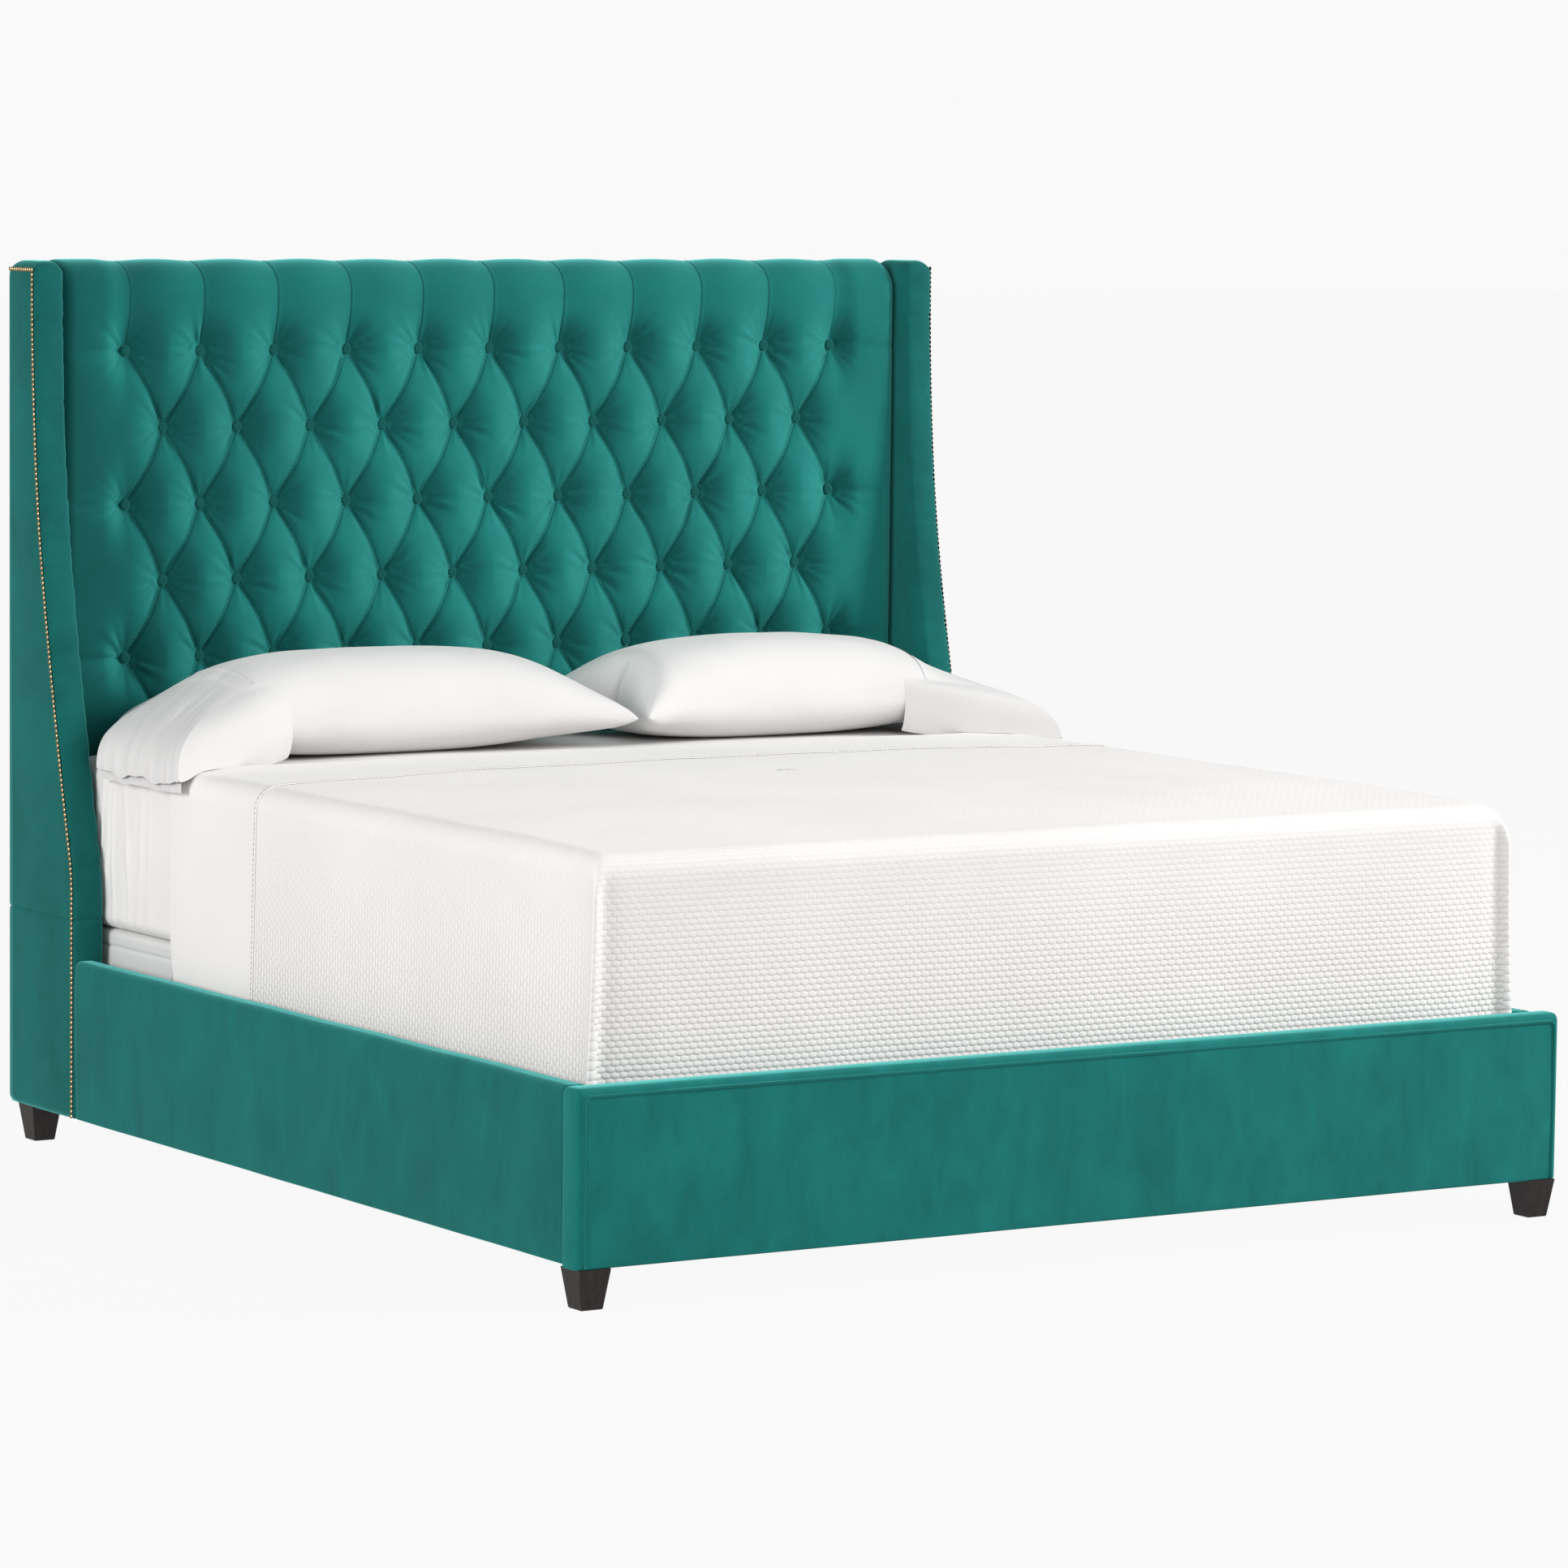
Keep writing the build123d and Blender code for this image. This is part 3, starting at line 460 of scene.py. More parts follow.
# ---- tufted headboard pad ----
PLUMP_POWER = 0.60
SIDE_LIP = 0.5
SIDE_FOLD = 0.0055
FOLD_DEEP = 0.0105
BUTTON_PULL = 0.0188
PULL_REACH = 0.050
GATHER_DEEP = 0.0056
GATHER_COUNTS = (9, 13, 18)
LIP_STEP = 0.0031
CROSS_STEPS = 23
PAD_PROUD = 0.0025
ROLL_UP = 0.060
ROLL_BACK = 0.078
ROLL_LIFT = 0.005
# Painted light and shade on the tufted pad: darker towards the left end, light and dark along the gathers,
# paler where the surface leans right and up, and darker in the hollows.
PAINTED_SIDE_SHADE = 0.10
PAINTED_GATHER_LIGHT = 0.32
PAINTED_LIGHT_X = 1.15
PAINTED_LIGHT_Z = 0.18
PAINTED_HOLLOW_SHADE = 22.0


def button_rows():
    """Button centres in X and Z, row by row."""
    rows = []
    for i, z in enumerate(ROWS_Z):
        count = 11 - i % 2
        rows.append([((j - (count - 1) / 2) * BUTTON_PITCH, z) for j in range(count)])
    return rows


def fold_lines(half, top):
    """Fold lines of the cover, each with the height of its lip: diagonals, channels and side pleats."""
    rows = button_rows()
    lines = []
    for upper, lower in zip(rows, rows[1:]):
        for x, z in upper:
            for x2, z2 in lower:
                if abs(x - x2) < 0.6 * BUTTON_PITCH:
                    lines.append((x, z, x2, z2, 1.0))
    lines += [(x, z, x, top, 0.35) for x, z in rows[0]]
    for i in range(0, BUTTON_ROWS, 2):
        z = ROWS_Z[i]
        lines += [(-END_X, z, -half, z, SIDE_LIP), (END_X, z, half, z, SIDE_LIP)]
    lines += [(x, z, x, z - 0.22, 0.2) for x, z in rows[-1]]
    return lines


def segment_distance(x, z, line):
    """Distance from points to a segment, which side of it they are on, and how far along they are."""
    ax, az, bx, bz = line[:4]
    dx, dz = bx - ax, bz - az
    length = math.hypot(dx, dz)
    along = np.clip(((x - ax) * dx + (z - az) * dz) / length**2, 0, 1)
    distance = np.hypot(x - ax - along * dx, z - az - along * dz)
    side = ((x - ax) * dz - (z - az) * dx) / length
    return distance, side, along * length, length


def pleat_shape(line, distance, side, along, length):
    """Small relief beside a fold line: a lip next to it and a faint second line."""
    start = smoothstep(along, 0.006, 0.030)
    finish = 1 - smoothstep(along, 0.80 * length, 0.98 * length) if line[4] < 1 else 1.0
    near = line[4] * start * finish * (distance < 0.016)
    lip = np.exp(-(((side - LIP_STEP) / 0.0019) ** 2))
    second = np.exp(-(((side - 2 * LIP_STEP) / 0.0017) ** 2))
    groove = np.exp(-((side / 0.0016) ** 2))
    return near * (-0.0019 * lip + 0.0010 * second + 0.0012 * groove)


def button_wrinkles(x, z):
    """Fine gathers that radiate from each button, and how far each point is from the nearest button."""
    rng = np.random.default_rng(SEEDS["gathers"])
    reach = np.full(x.shape, 1.0)
    wrinkle = np.zeros(x.shape)
    for row in button_rows():
        for bx, bz in row:
            r = np.hypot(x - bx, z - bz)
            angle = np.arctan2(z - bz, x - bx)
            reach = np.minimum(reach, r)
            strength = rng.uniform(0.7, 1.3)
            lean = rng.uniform(-0.5, 0.5)
            sector = 0.55 + 0.45 * np.cos(2 * (angle - lean))
            near = strength * sector * np.exp(-((r / PULL_REACH) ** 2)) * smoothstep(r, 0.012, 0.026)
            for k in GATHER_COUNTS:
                phase = rng.uniform(0, 2 * math.pi)
                wrinkle += near * 0.5 * np.sin(k * angle + phase + 0.7 * np.sin(2 * angle + lean))
    return wrinkle, reach


def plumpness(x, z):
    """How full the pad is, 0 along the fold lines and 1 in the middle of each diamond."""
    inner = np.clip(x, -END_X, END_X) / BUTTON_PITCH
    down = np.clip((ROWS_Z[0] - z) / (2 * ROW_PITCH), 0, (BUTTON_ROWS - 1) / 2)
    sides = np.abs(np.sin(math.pi * (inner - down)) * np.sin(math.pi * (inner + down)))
    full = sides**PLUMP_POWER
    return full + (1 - full) * smoothstep(np.abs(x), END_X, END_X + 0.06)


def pad_depth(x, z, half, top):
    """How far the tufted surface lies behind its crown, over X and height up the profile, and its gathers."""
    relief = np.zeros(x.shape)
    for line in fold_lines(half, top):
        d, side, along, length = segment_distance(x, z, line)
        relief += pleat_shape(line, d, side, along, length)
        if line[4] == SIDE_LIP:
            relief += SIDE_FOLD * np.exp(-d / 0.011) * (1 - 0.7 * smoothstep(along, 0, length))
    wrinkle, reach = button_wrinkles(x, z)
    plump = plumpness(x, z)
    above = smoothstep(z, ROWS_Z[0] + 0.01, ROWS_Z[0] + 0.10)
    below = smoothstep(-z, -ROWS_Z[-1] + 0.02, -ROWS_Z[-1] + 0.20)
    outside = smoothstep(np.abs(x), END_X + 0.02, END_X + 0.09)
    fold = FOLD_DEEP * (1 - 0.35 * above) * (1 - 0.7 * below) * (1 - 0.75 * outside)
    pull = BUTTON_PULL * np.exp(-((reach / PULL_REACH) ** 2))
    depth = fold * (1 - plump) + pull * (1 - 0.35 * plump)
    depth += GATHER_DEEP * wrinkle + relief
    depth += 0.0010 * noise(x, z, 0.35, SEEDS["pad"], 2)
    edge = np.clip(1 - (half - np.abs(x)) / 0.026, 0, 1)
    depth += 0.022 * (1 - np.sqrt(np.maximum(1 - edge**2, 0)))
    return depth - PAD_PROUD, wrinkle


def pad_profile(low_z):
    """The pad's side shape from the bottom of the tufting up the front and over the rolled top."""
    front = PAD_LOW.y
    top = HIGH.z - PAD_PROUD + ROLL_LIFT
    angles = np.linspace(0, math.pi / 2, 60)
    ys = front + ROLL_BACK * (1 - np.cos(angles))
    zs = top - ROLL_UP + ROLL_UP * np.sin(angles)
    ys = np.concatenate([[front], ys, [PAD_HIGH.y - 0.001]])
    zs = np.concatenate([[low_z], zs, [top - 0.002]])
    steps = np.concatenate([[0], np.cumsum(np.hypot(np.diff(ys), np.diff(zs)))])

    def point(s):
        y = np.interp(s, steps, ys)
        z = np.interp(s, steps, zs)
        ahead, behind = np.minimum(s + 0.004, steps[-1]), np.maximum(s - 0.004, 0)
        ty = np.interp(ahead, steps, ys) - np.interp(behind, steps, ys)
        tz = np.interp(ahead, steps, zs) - np.interp(behind, steps, zs)
        size = np.hypot(ty, tz)
        return y, z, -tz / size, ty / size

    return point, steps[-1]


def headboard_pad():
    """The tufted velvet cover: its front and its rolled top."""
    half = PAD_HIGH.x
    dx = BUTTON_PITCH / 2 / CROSS_STEPS
    dz = ROW_PITCH / CROSS_STEPS
    columns = np.arange(-math.floor(half / dx), math.floor(half / dx) + 1) * dx
    columns = np.concatenate([[-half], columns, [half]])
    low = ROWS_Z[-1] - ROW_PITCH
    point, total = pad_profile(low)
    rows = np.concatenate([np.arange(0, total, dz), [total]])
    x, s = np.meshgrid(columns, rows)
    depth, wrinkle = pad_depth(x, low + s, half, low + total + 0.1)
    depth *= 1 - 0.45 * smoothstep(s, total - 0.05, total)
    y, z, ny, nz = point(s)
    points = np.stack([x, y - ny * depth, z - nz * depth], -1)
    obj = new_object("tufted_headboard", points.reshape(-1, 3), pad_faces(depth))
    # Painted light and shade from the pad's shape, kept on each point for the velvet's colour.
    painted_light = obj.data.attributes.new("painted_light", "FLOAT", "POINT")
    painted_light.data.foreach_set("value", pad_painted_light(depth, wrinkle, columns, rows).ravel())
    place(obj, VELVET_PAD, "bed_frame", "teal_velvet", "headboard_cover", "headboard_foam")


def blurred(field, times):
    """A field smoothed by repeated averaging with its neighbours."""
    for _ in range(times):
        field = np.pad(field, 1, mode="edge")
        around = field[1:-1, :-2] + field[1:-1, 2:] + field[:-2, 1:-1] + field[2:, 1:-1]
        field = (around + 2 * field[1:-1, 1:-1]) / 6
    return field


def pad_painted_light(depth, wrinkle, columns, rows):
    """Painted light and shade, from 0 dark to 1 pale: pale where the surface leans right and up towards the
    key light, dark in the hollows and towards the left end, and light and dark along the gathers.
    """
    smooth = blurred(depth, 2)
    lean_z, lean_x = np.gradient(smooth, rows, columns)
    hollow = depth - blurred(depth, 30)
    sweep = PAINTED_SIDE_SHADE * (1 - 4.2 * smoothstep(-columns, 0.35, 0.95))
    return np.clip(0.5 + PAINTED_LIGHT_X * lean_x + PAINTED_LIGHT_Z * lean_z - PAINTED_HOLLOW_SHADE * hollow + sweep
                   + PAINTED_GATHER_LIGHT * wrinkle, 0.10, 0.96)


def pad_faces(depth):
    """Triangles over the pad's grid, split along whichever diagonal lies deeper, so folds stay sharp."""
    rows, columns = depth.shape
    faces = []
    for i in range(rows - 1):
        for j in range(columns - 1):
            a, b = i * columns + j, i * columns + j + 1
            c, d = a + columns, b + columns
            rising = depth[i, j] + depth[i + 1, j + 1]
            falling = depth[i, j + 1] + depth[i + 1, j]
            if rising > falling:
                faces += [(a, b, d), (a, d, c)]
            else:
                faces += [(a, b, c), (b, d, c)]
    return faces


def lower_panel():
    """Plain velvet below the tufting, behind the mattress."""
    x = np.linspace(PAD_LOW.x, PAD_HIGH.x, 121)
    z = np.linspace(PAD_LOW.z, ROWS_Z[-1] - ROW_PITCH + 0.004, 60)
    xx, zz = np.meshgrid(x, z)
    edge = np.clip(1 - (PAD_HIGH.x - np.abs(xx)) / 0.022, 0, 1)
    back = 0.004 + 0.020 * (1 - np.sqrt(np.maximum(1 - edge**2, 0)))
    yy = PAD_LOW.y - 0.003 + back + 0.0015 * noise(xx, zz, 0.5, SEEDS["panel"])
    obj = grid_object("headboard_lower_panel", np.stack([xx, yy, zz], -1))
    place(obj, VELVET, "bed_frame", "teal_velvet")


# ---- wings ----
SEAM_Z = 0.452
CAP_LOW = 0.022
CAP_RISE = 0.030
CAP_PINCH = 0.026


def front_curve(node):
    """Heights and front Y of a wing, read from its CAD cover."""
    points = np.array([v.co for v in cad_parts[node].data.vertices])
    heights = np.round(points[:, 2], 3)
    levels = np.unique(heights)
    fronts = np.array([points[heights == level, 1].min() for level in levels])
    keep = fronts < HIGH.y - 0.1
    return levels[keep], fronts[keep]


def wing_loop(side, y_front, z, outer, inner, pinch=0.0):
    """One level loop round a wing: outer face, crisp front corner, padded front, inner face, back."""
    back = HIGH.y - 0.001 - pinch
    front = y_front + pinch
    points = []
    for t in np.linspace(0, 1, 16):
        y = back + (front + 0.002 - back) * t
        bulge = 0.0025 * math.sin(math.pi * t)
        points.append((outer - 0.0025 - pinch + bulge, y))
    width = outer - inner - 2 * pinch
    for t in np.linspace(0, 1, 19)[1:]:
        x = outer - pinch - width * t
        crown = 0.0085 * (1 - abs(2 * t - 1) ** 2.4) - 0.016 * max(0.0, (t - 0.80) / 0.20) ** 2
        points.append((x, front - crown))
    for t in np.linspace(0, 1, 14)[1:]:
        y = front + 0.016 + (back - front - 0.016) * t
        points.append((inner + pinch - 0.0015 * math.sin(math.pi * min(1.0, 3 * t)), y))
    for t in (0.33, 0.66):
        points.append((inner + pinch + (outer - inner - 2 * pinch) * t, back + 0.0005))
    return [(side * x, y, z) for x, y in points]


def wing(side, name, cover, foam_node):
    """A padded wing whose front edge sweeps forward towards the mattress."""
    low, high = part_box(cover)
    outer, inner = (abs(low.x), abs(high.x)) if side < 0 else (high.x, low.x)
    levels, fronts = front_curve(cover)
    rows = [*np.arange(low.z, high.z - CAP_LOW, 0.010), SEAM_Z - 0.003, SEAM_Z, SEAM_Z + 0.003]
    loops = []
    for z in sorted(rows):
        front = float(np.interp(z, levels, fronts))
        seam = 0.0022 * math.exp(-(((z - SEAM_Z) / 0.0022) ** 2))
        hem = 0.004 * (1 - smoothstep(z, low.z, low.z + 0.012))
        wave = 0.0012 * wobble(z, side * 1.0, 0.45, SEEDS["wing"])
        loops.append(wing_loop(side, front + wave, z, outer, inner, seam + float(hem)))
    front = float(np.interp(high.z, levels, fronts))
    for angle in np.linspace(0.12, 1.0, 11) * math.pi / 2:
        z = high.z - CAP_LOW + CAP_RISE * math.sin(angle)
        loops.append(wing_loop(side, front, z, outer, inner, CAP_PINCH * (1 - math.cos(angle))))
    obj = loft_object(name, loops, flip=side > 0)
    place(obj, VELVET, "bed_frame", "teal_velvet", cover, foam_node)


# ---- rails and footboard ----
def rounded_section(width, height, radii, divide=8):
    """Points round a box section, counter-clockwise from bottom left, with a radius at each corner."""
    arcs = []
    for (x, y, quarter), r in zip(((0, 0, 2), (width, 0, 3), (width, height, 0), (0, height, 1)), radii):
        mx = x + r if x == 0 else x - r
        my = y + r if y == 0 else y - r
        arcs.append([(mx + r * c, my + r * s) for c, s in quarter_turn(6, quarter)])
    points = []
    for arc, following in zip(arcs, arcs[1:] + arcs[:1]):
        points += arc + between(arc[-1], following[0], np.arange(1, divide) / divide)
    return points


def rail(side, name, cover, foam_node):
    """A padded side rail covered in velvet."""
    low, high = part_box(cover)
    width, height = high.x - low.x, high.z - low.z
    section = rounded_section(width, height, (0.004, 0.004, 0.013, 0.013))
    loops = []
    for y in np.linspace(low.y + 0.0005, high.y - 0.0005, 190):
        end = min(y - low.y, high.y - y)
        tuck = 0.006 * (1 - min(1.0, end / 0.012)) ** 2
        loop = []
        for px, pz in section:
            x, z = low.x + px, low.z + pz
            outward = 1.0 if (side < 0) == (px < width / 2) else -0.3
            belly = 0.0030 * math.sin(math.pi * pz / height) * outward
            soft = 0.0014 * wobble(y, z, 0.42, SEEDS["rail"])
            x += side * (belly + soft * outward) - side * tuck * outward
            top = float(smoothstep(pz, height * 0.93, height))
            z += top * (0.0012 * wobble(y, 0.0, 0.3, SEEDS["rail top"]) - tuck)
            loop.append((x, y, z))
        loops.append(loop)
    obj = loft_object(name, loops, flip=True)
    place(obj, VELVET_RAIL, "bed_frame", "teal_velvet", cover, foam_node)


def footboard():
    """The padded footboard, with boxed sides and a soft front panel."""
    low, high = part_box("footboard_cover")
    depth, height = high.y - low.y, high.z - low.z
    section = rounded_section(depth, height, (0.004, 0.004, 0.014, 0.012), divide=14)
    half = high.x
    columns = np.concatenate([[0.0, 0.0015, 0.004, 0.008, 0.013, 0.02], np.linspace(0.03, half, 90)])
    xs = np.concatenate([-half + columns, (half - columns[:-1])[::-1]])
    loops = []
    for x in xs:
        end = half - abs(x)
        corner = rounding(end, 0.012)
        loop = []
        for py, pz in section:
            inward = 0.5 - py / depth
            y = low.y + py + corner * 2 * inward
            z = low.z + pz
            rise = math.sin(math.pi * min(1.0, max(0.0, pz / height)))
            panel = 0.0028 * rise * min(1.0, end / 0.06)
            soft = 0.0013 * wobble(x, z, 0.4, SEEDS["footboard"]) * min(1.0, end / 0.05)
            if py < depth * 0.3:
                y -= panel + soft
            top = float(smoothstep(pz, height * 0.93, height))
            z += top * (0.0022 * math.sin(math.pi * py / depth) - 0.5 * corner)
            loop.append((x, y, z))
        loops.append(loop)
    obj = loft_object("footboard_velvet", loops)
    place(obj, VELVET_FOOT, "bed_frame", "teal_velvet", "footboard_cover", "footboard_foam")


def tube(name, path, radius, sides=12):
    """A round tube along a list of points."""
    path = np.array(path, float)
    loops = []
    first = None
    for point, tangent in zip(path, np.gradient(path, axis=0)):
        tangent = Vector(tangent).normalized()
        first = tangent.orthogonal() if first is None else first - tangent * first.dot(tangent)
        first.normalize()
        second = tangent.cross(first)
        loops.append([tuple(Vector(point) + radius * (first * math.cos(a) + second * math.sin(a)))
                      for a in (2 * math.pi * k / sides for k in range(sides))])
    return loft_object(name, loops, flip=True)


WELT_R = 0.0034


def welt():
    """Velvet welt round the edge of the footboard's front panel."""
    low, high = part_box("footboard_welt")
    left, right, top = low.x + 0.003, high.x - 0.003, high.z - 0.003
    y = low.y + 0.0032
    bend = 0.012
    path = [(left, y, z) for z in np.linspace(low.z, top - bend, 30)]
    path += [(left + bend * (1 - c), y, top - bend + bend * s) for c, s in quarter_turn(7)[1:-1]]
    path += [(x, y, top) for x in np.linspace(left + bend, right - bend, 160)]
    path += [(right - bend * (1 - s), y, top - bend + bend * c) for c, s in quarter_turn(7)[1:-1]]
    path += [(right, y, z) for z in np.linspace(top - bend, low.z, 30)]
    obj = tube("footboard_welt_cord", path, WELT_R)
    place(obj, VELVET_WELT, "bed_frame", "teal_welt", "footboard_welt")


headboard_pad()
lower_panel()
for side, hand in HANDS:
    wing(side, f"wing_velvet_{hand}", f"wing_cover_{hand}", f"wing_foam_{hand}")
for side, hand in HANDS:
    rail(side, f"rail_velvet_{hand}", f"rail_cover_{hand}", f"rail_foam_{hand}")
footboard()
welt()


# ---- bedding ----
CORE_LOW, CORE_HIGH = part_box("mattress_core")
TICKING_DEEP = CORE_LOW.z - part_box("mattress_cover")[0].z
HALF = CORE_HIGH.x
FOOT_EDGE = CORE_LOW.y
TOP = CORE_HIGH.z
HEM_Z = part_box("coverlet")[0].z
FOLD_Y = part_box("flat_sheet")[1].y
CUFF_Y = FOLD_Y - 0.355
UNDER_OFF = 0.0060
COVERLET_OFF = 0.0112
CUFF_OFF = 0.0125
EDGE_RADIUS = 0.045
MIDDLE_STRIP = 0.024
COVERLET_FLARE = 0.008
COVERLET_RIPPLE = 0.0028
SHEET_THICK = 0.0010
COVERLET_THICK = 0.0030
STITCH_STEP = 0.0095
STITCH_LONG = 0.0060
STITCH_R = 0.0008


def crown(x, y):
    """How far the bed's top rises above its edge."""
    across = np.maximum(1 - (np.abs(x) / (HALF + 0.01)) ** 2.6, 0)
    along = smoothstep(y, FOOT_EDGE - 0.01, FOOT_EDGE + 0.42) * (1 - 0.78 * smoothstep(y, 0.05, FOLD_Y))
    return 0.019 * across * along


# The folded corner of a hanging cloth, as steps out of the side and out of the foot.
EAR = [
    (0.0, -0.070), (0.0, -0.050), (0.001, -0.034), (0.003, -0.020), (0.0055, -0.009), (0.0080, -0.001),
    (0.0095, 0.0035), (0.0080, 0.0065), (0.0040, 0.0062), (-0.002, 0.0025), (-0.009, -0.0030),
    (-0.017, -0.0046), (-0.027, -0.0036), (-0.040, -0.0016), (-0.056, -0.0003), (-0.080, 0.0),
]


def plain_corner(radius):
    """A round corner with as many points as the folded one, as (out of the side, out of the foot) pairs."""
    points = [(0.0, -0.070), (0.0, -0.050), (0.0, -0.034)]
    points += [(radius * (c - 1), radius * (s - 1)) for c, s in quarter_turn()]
    points += [(-0.034, 0.0), (-0.044, 0.0), (-0.058, 0.0), (-0.080, 0.0)]
    return points


def side_profile(drop, radius, half):
    """Inset and height of a layer, from its hem up the side, round the edge and in over the top."""
    levels = [(0.0, -drop * (1 - t)) for t in np.linspace(0, 1, 27)[:-1]]
    levels = [(inset, z - radius * (1 + z / drop)) for inset, z in levels]
    levels += [(radius * (1 - c), radius * (s - 1)) for c, s in quarter_turn(9)]
    inner = [radius + 0.012, radius + 0.03, radius + 0.055, radius + 0.09]
    inner += list(np.linspace(radius + 0.13, half - MIDDLE_STRIP / 2, 24))
    levels += [(inset, 0.0) for inset in inner]
    return levels


def bedspread(name, offset, hem_z, head_y, radius, ear, flare, seed, ripple):
    """A cloth over the bed: hanging sides, a foot panel and a folded corner between them."""
    half = HALF + offset
    foot = FOOT_EDGE - offset
    top = TOP + offset
    side_t = np.linspace(0, 1, 60)[:-1]
    front_t = np.linspace(0, 1, 80)[1:-1]
    loops, arcs = [], []
    levels = side_profile(top - hem_z, radius, half)
    arc = 0.0
    for index, (inset, dz) in enumerate(levels):
        if index:
            prior = levels[index - 1]
            arc += math.hypot(inset - prior[0], dz - prior[1])
        depth = max(0.0, -dz - radius) / (top - hem_z - radius)
        amount = float(smoothstep(-dz, 0.004, 0.075)) * ear
        round_corner = max(0.0015, 0.030 - inset * 0.6)
        corner = []
        for plain, folded in zip(plain_corner(round_corner), EAR):
            grow = 1 + 0.9 * depth
            p = plain[0] * (1 - amount) + folded[0] * amount * (grow if folded[0] > 0 else 1)
            q = plain[1] * (1 - amount) + folded[1] * amount
            corner.append((p, q))
        h, f = half - inset, foot + inset
        wide = min(1.0, h / 0.17)
        corner = [(p * wide, q * wide) for p, q in corner]
        row = [(-h, head_y + (f - corner[0][1] - head_y) * t, "s") for t in side_t]
        row += [(-(h + p), f - q, "c") for p, q in corner]
        x0, x1 = -(h + corner[-1][0]), h + corner[-1][0]
        row += [(x0 + (x1 - x0) * t, f, "f") for t in front_t]
        row += [(h + p, f - q, "c") for p, q in reversed(corner)]
        row += [(h, f - corner[0][1] + (head_y - f + corner[0][1]) * t, "s") for t in side_t[1:]]
        row += [(h, head_y, "s")]
        loop = []
        for x, y, part in row:
            z = top + dz
            along = y if part == "s" else x
            push = hang_push(along, z, dz, depth, radius, flare, ripple, seed)
            if part == "s":
                x += math.copysign(push, x)
            elif part == "f":
                y -= push * min(1.0, (h - abs(x)) / 0.06)
            else:
                x += math.copysign(push * 0.7, x)
            if inset > 0:
                z += top_rise(x, y, inset, foot, seed + 1)
            loop.append((x, y, z))
        loops.append(loop)
        arcs.append(arc)
    loops = np.array(loops)
    rows, columns = loops.shape[:2]
    faces = grid_faces(rows, columns)
    last = (rows - 1) * columns
    faces += [(last + i, last + i + 1, last + columns - 2 - i, last + columns - 1 - i)
              for i in range(columns // 2 - 1)]
    obj = new_object(name, loops.reshape(-1, 3), faces)
    bedspread_uv(obj, loops, arcs)
    return obj


def bedspread_uv(obj, loops, arcs):
    """Cloth coordinates in metres: over the top, down each side and down the foot."""
    columns = loops.shape[1]
    layer = obj.data.uv_layers.new(name="cloth")
    points = loops.reshape(-1, 3)
    for polygon in obj.data.polygons:
        centre = points[list(polygon.vertices)].mean(0)
        on_foot = (centre[1] - FOOT_EDGE) < (HALF - abs(centre[0]))
        for loop_index in polygon.loop_indices:
            vertex = obj.data.loops[loop_index].vertex_index
            x, y, _ = points[vertex]
            away = arcs[-1] - arcs[vertex // columns]
            layer.data[loop_index].uv = (x, -away) if on_foot else (math.copysign(away, x), y)


def solidify(obj, thickness):
    """Gives a cloth its thickness, inward."""
    modifier = obj.modifiers.new("thickness", "SOLIDIFY")
    modifier.thickness = thickness
    modifier.offset = -1


def hang_push(along, z, dz, depth, radius, flare, ripple, seed):
    """How far a hanging side stands out, from its flare and slow waves."""
    hang = smoothstep(-dz, radius, radius + 0.12)
    wave = ripple * float(hang) * wobble(along, z * 0.45, 0.55, seed)
    return flare * depth**1.5 + wave


def top_rise(x, y, inset, foot, seed):
    """How far the bed's top stands above a flat top, from its crown, soft foot edge and unevenness."""
    rise = float(crown(np.array(x), np.array(y))) * min(1.0, inset / 0.03)
    rise -= 0.012 * math.exp(-max(0.0, y - foot) / 0.075) * float(smoothstep(inset, 0.0, 0.07))
    return rise + 0.0016 * wobble(x, y, 0.33, seed) * min(1.0, inset / 0.04)


def arch_strip(name, offset, hem_z, y_values, radius, flare, ripple, seed, lift, curl):
    """A band of cloth across the bed, from hem to hem, shaped like the coverlet under it."""
    half = HALF + offset
    top = TOP + offset
    drop = top - hem_z
    down = [(0.0, z - top) for z in np.linspace(hem_z, top - radius, 30)[:-1]]
    down += [(radius * (1 - c), radius * (s - 1)) for c, s in quarter_turn()]
    down += [(inset, 0.0) for inset in np.linspace(radius, half, 48)[1:]]
    path = [(-1, inset, dz) for inset, dz in down] + [(1, inset, dz) for inset, dz in reversed(down[:-1])]
    points = []
    for index, y in enumerate(y_values):
        row = []
        for side, inset, dz in path:
            depth = max(0.0, -dz - radius) / (drop - radius)
            push = hang_push(y, top + dz, dz, depth, radius, flare, ripple, seed)
            on_side = max(0.0, 1 - inset / radius)
            x = side * (half - inset + push + on_side * lift[index])
            z = top + dz + (1 - on_side) * lift[index]
            if inset > 0:
                z += top_rise(x, y, inset, FOOT_EDGE - offset, seed + 1)
            bow = curl * depth**4 * (y - y_values[0])
            row.append((x, y - bow, z))
        points.append(row)
    return grid_object(name, np.array(points))


def join(first, *others):
    """Joins meshes into the first one."""
    meshes = [first, *others]
    points, faces = [], []
    for obj in meshes:
        start = len(points)
        points += [tuple(v.co) for v in obj.data.vertices]
        faces += [tuple(start + i for i in p.vertices) for p in obj.data.polygons]
    name = first.name
    for obj in meshes:
        bpy.data.objects.remove(obj)
    return new_object(name, points, faces)


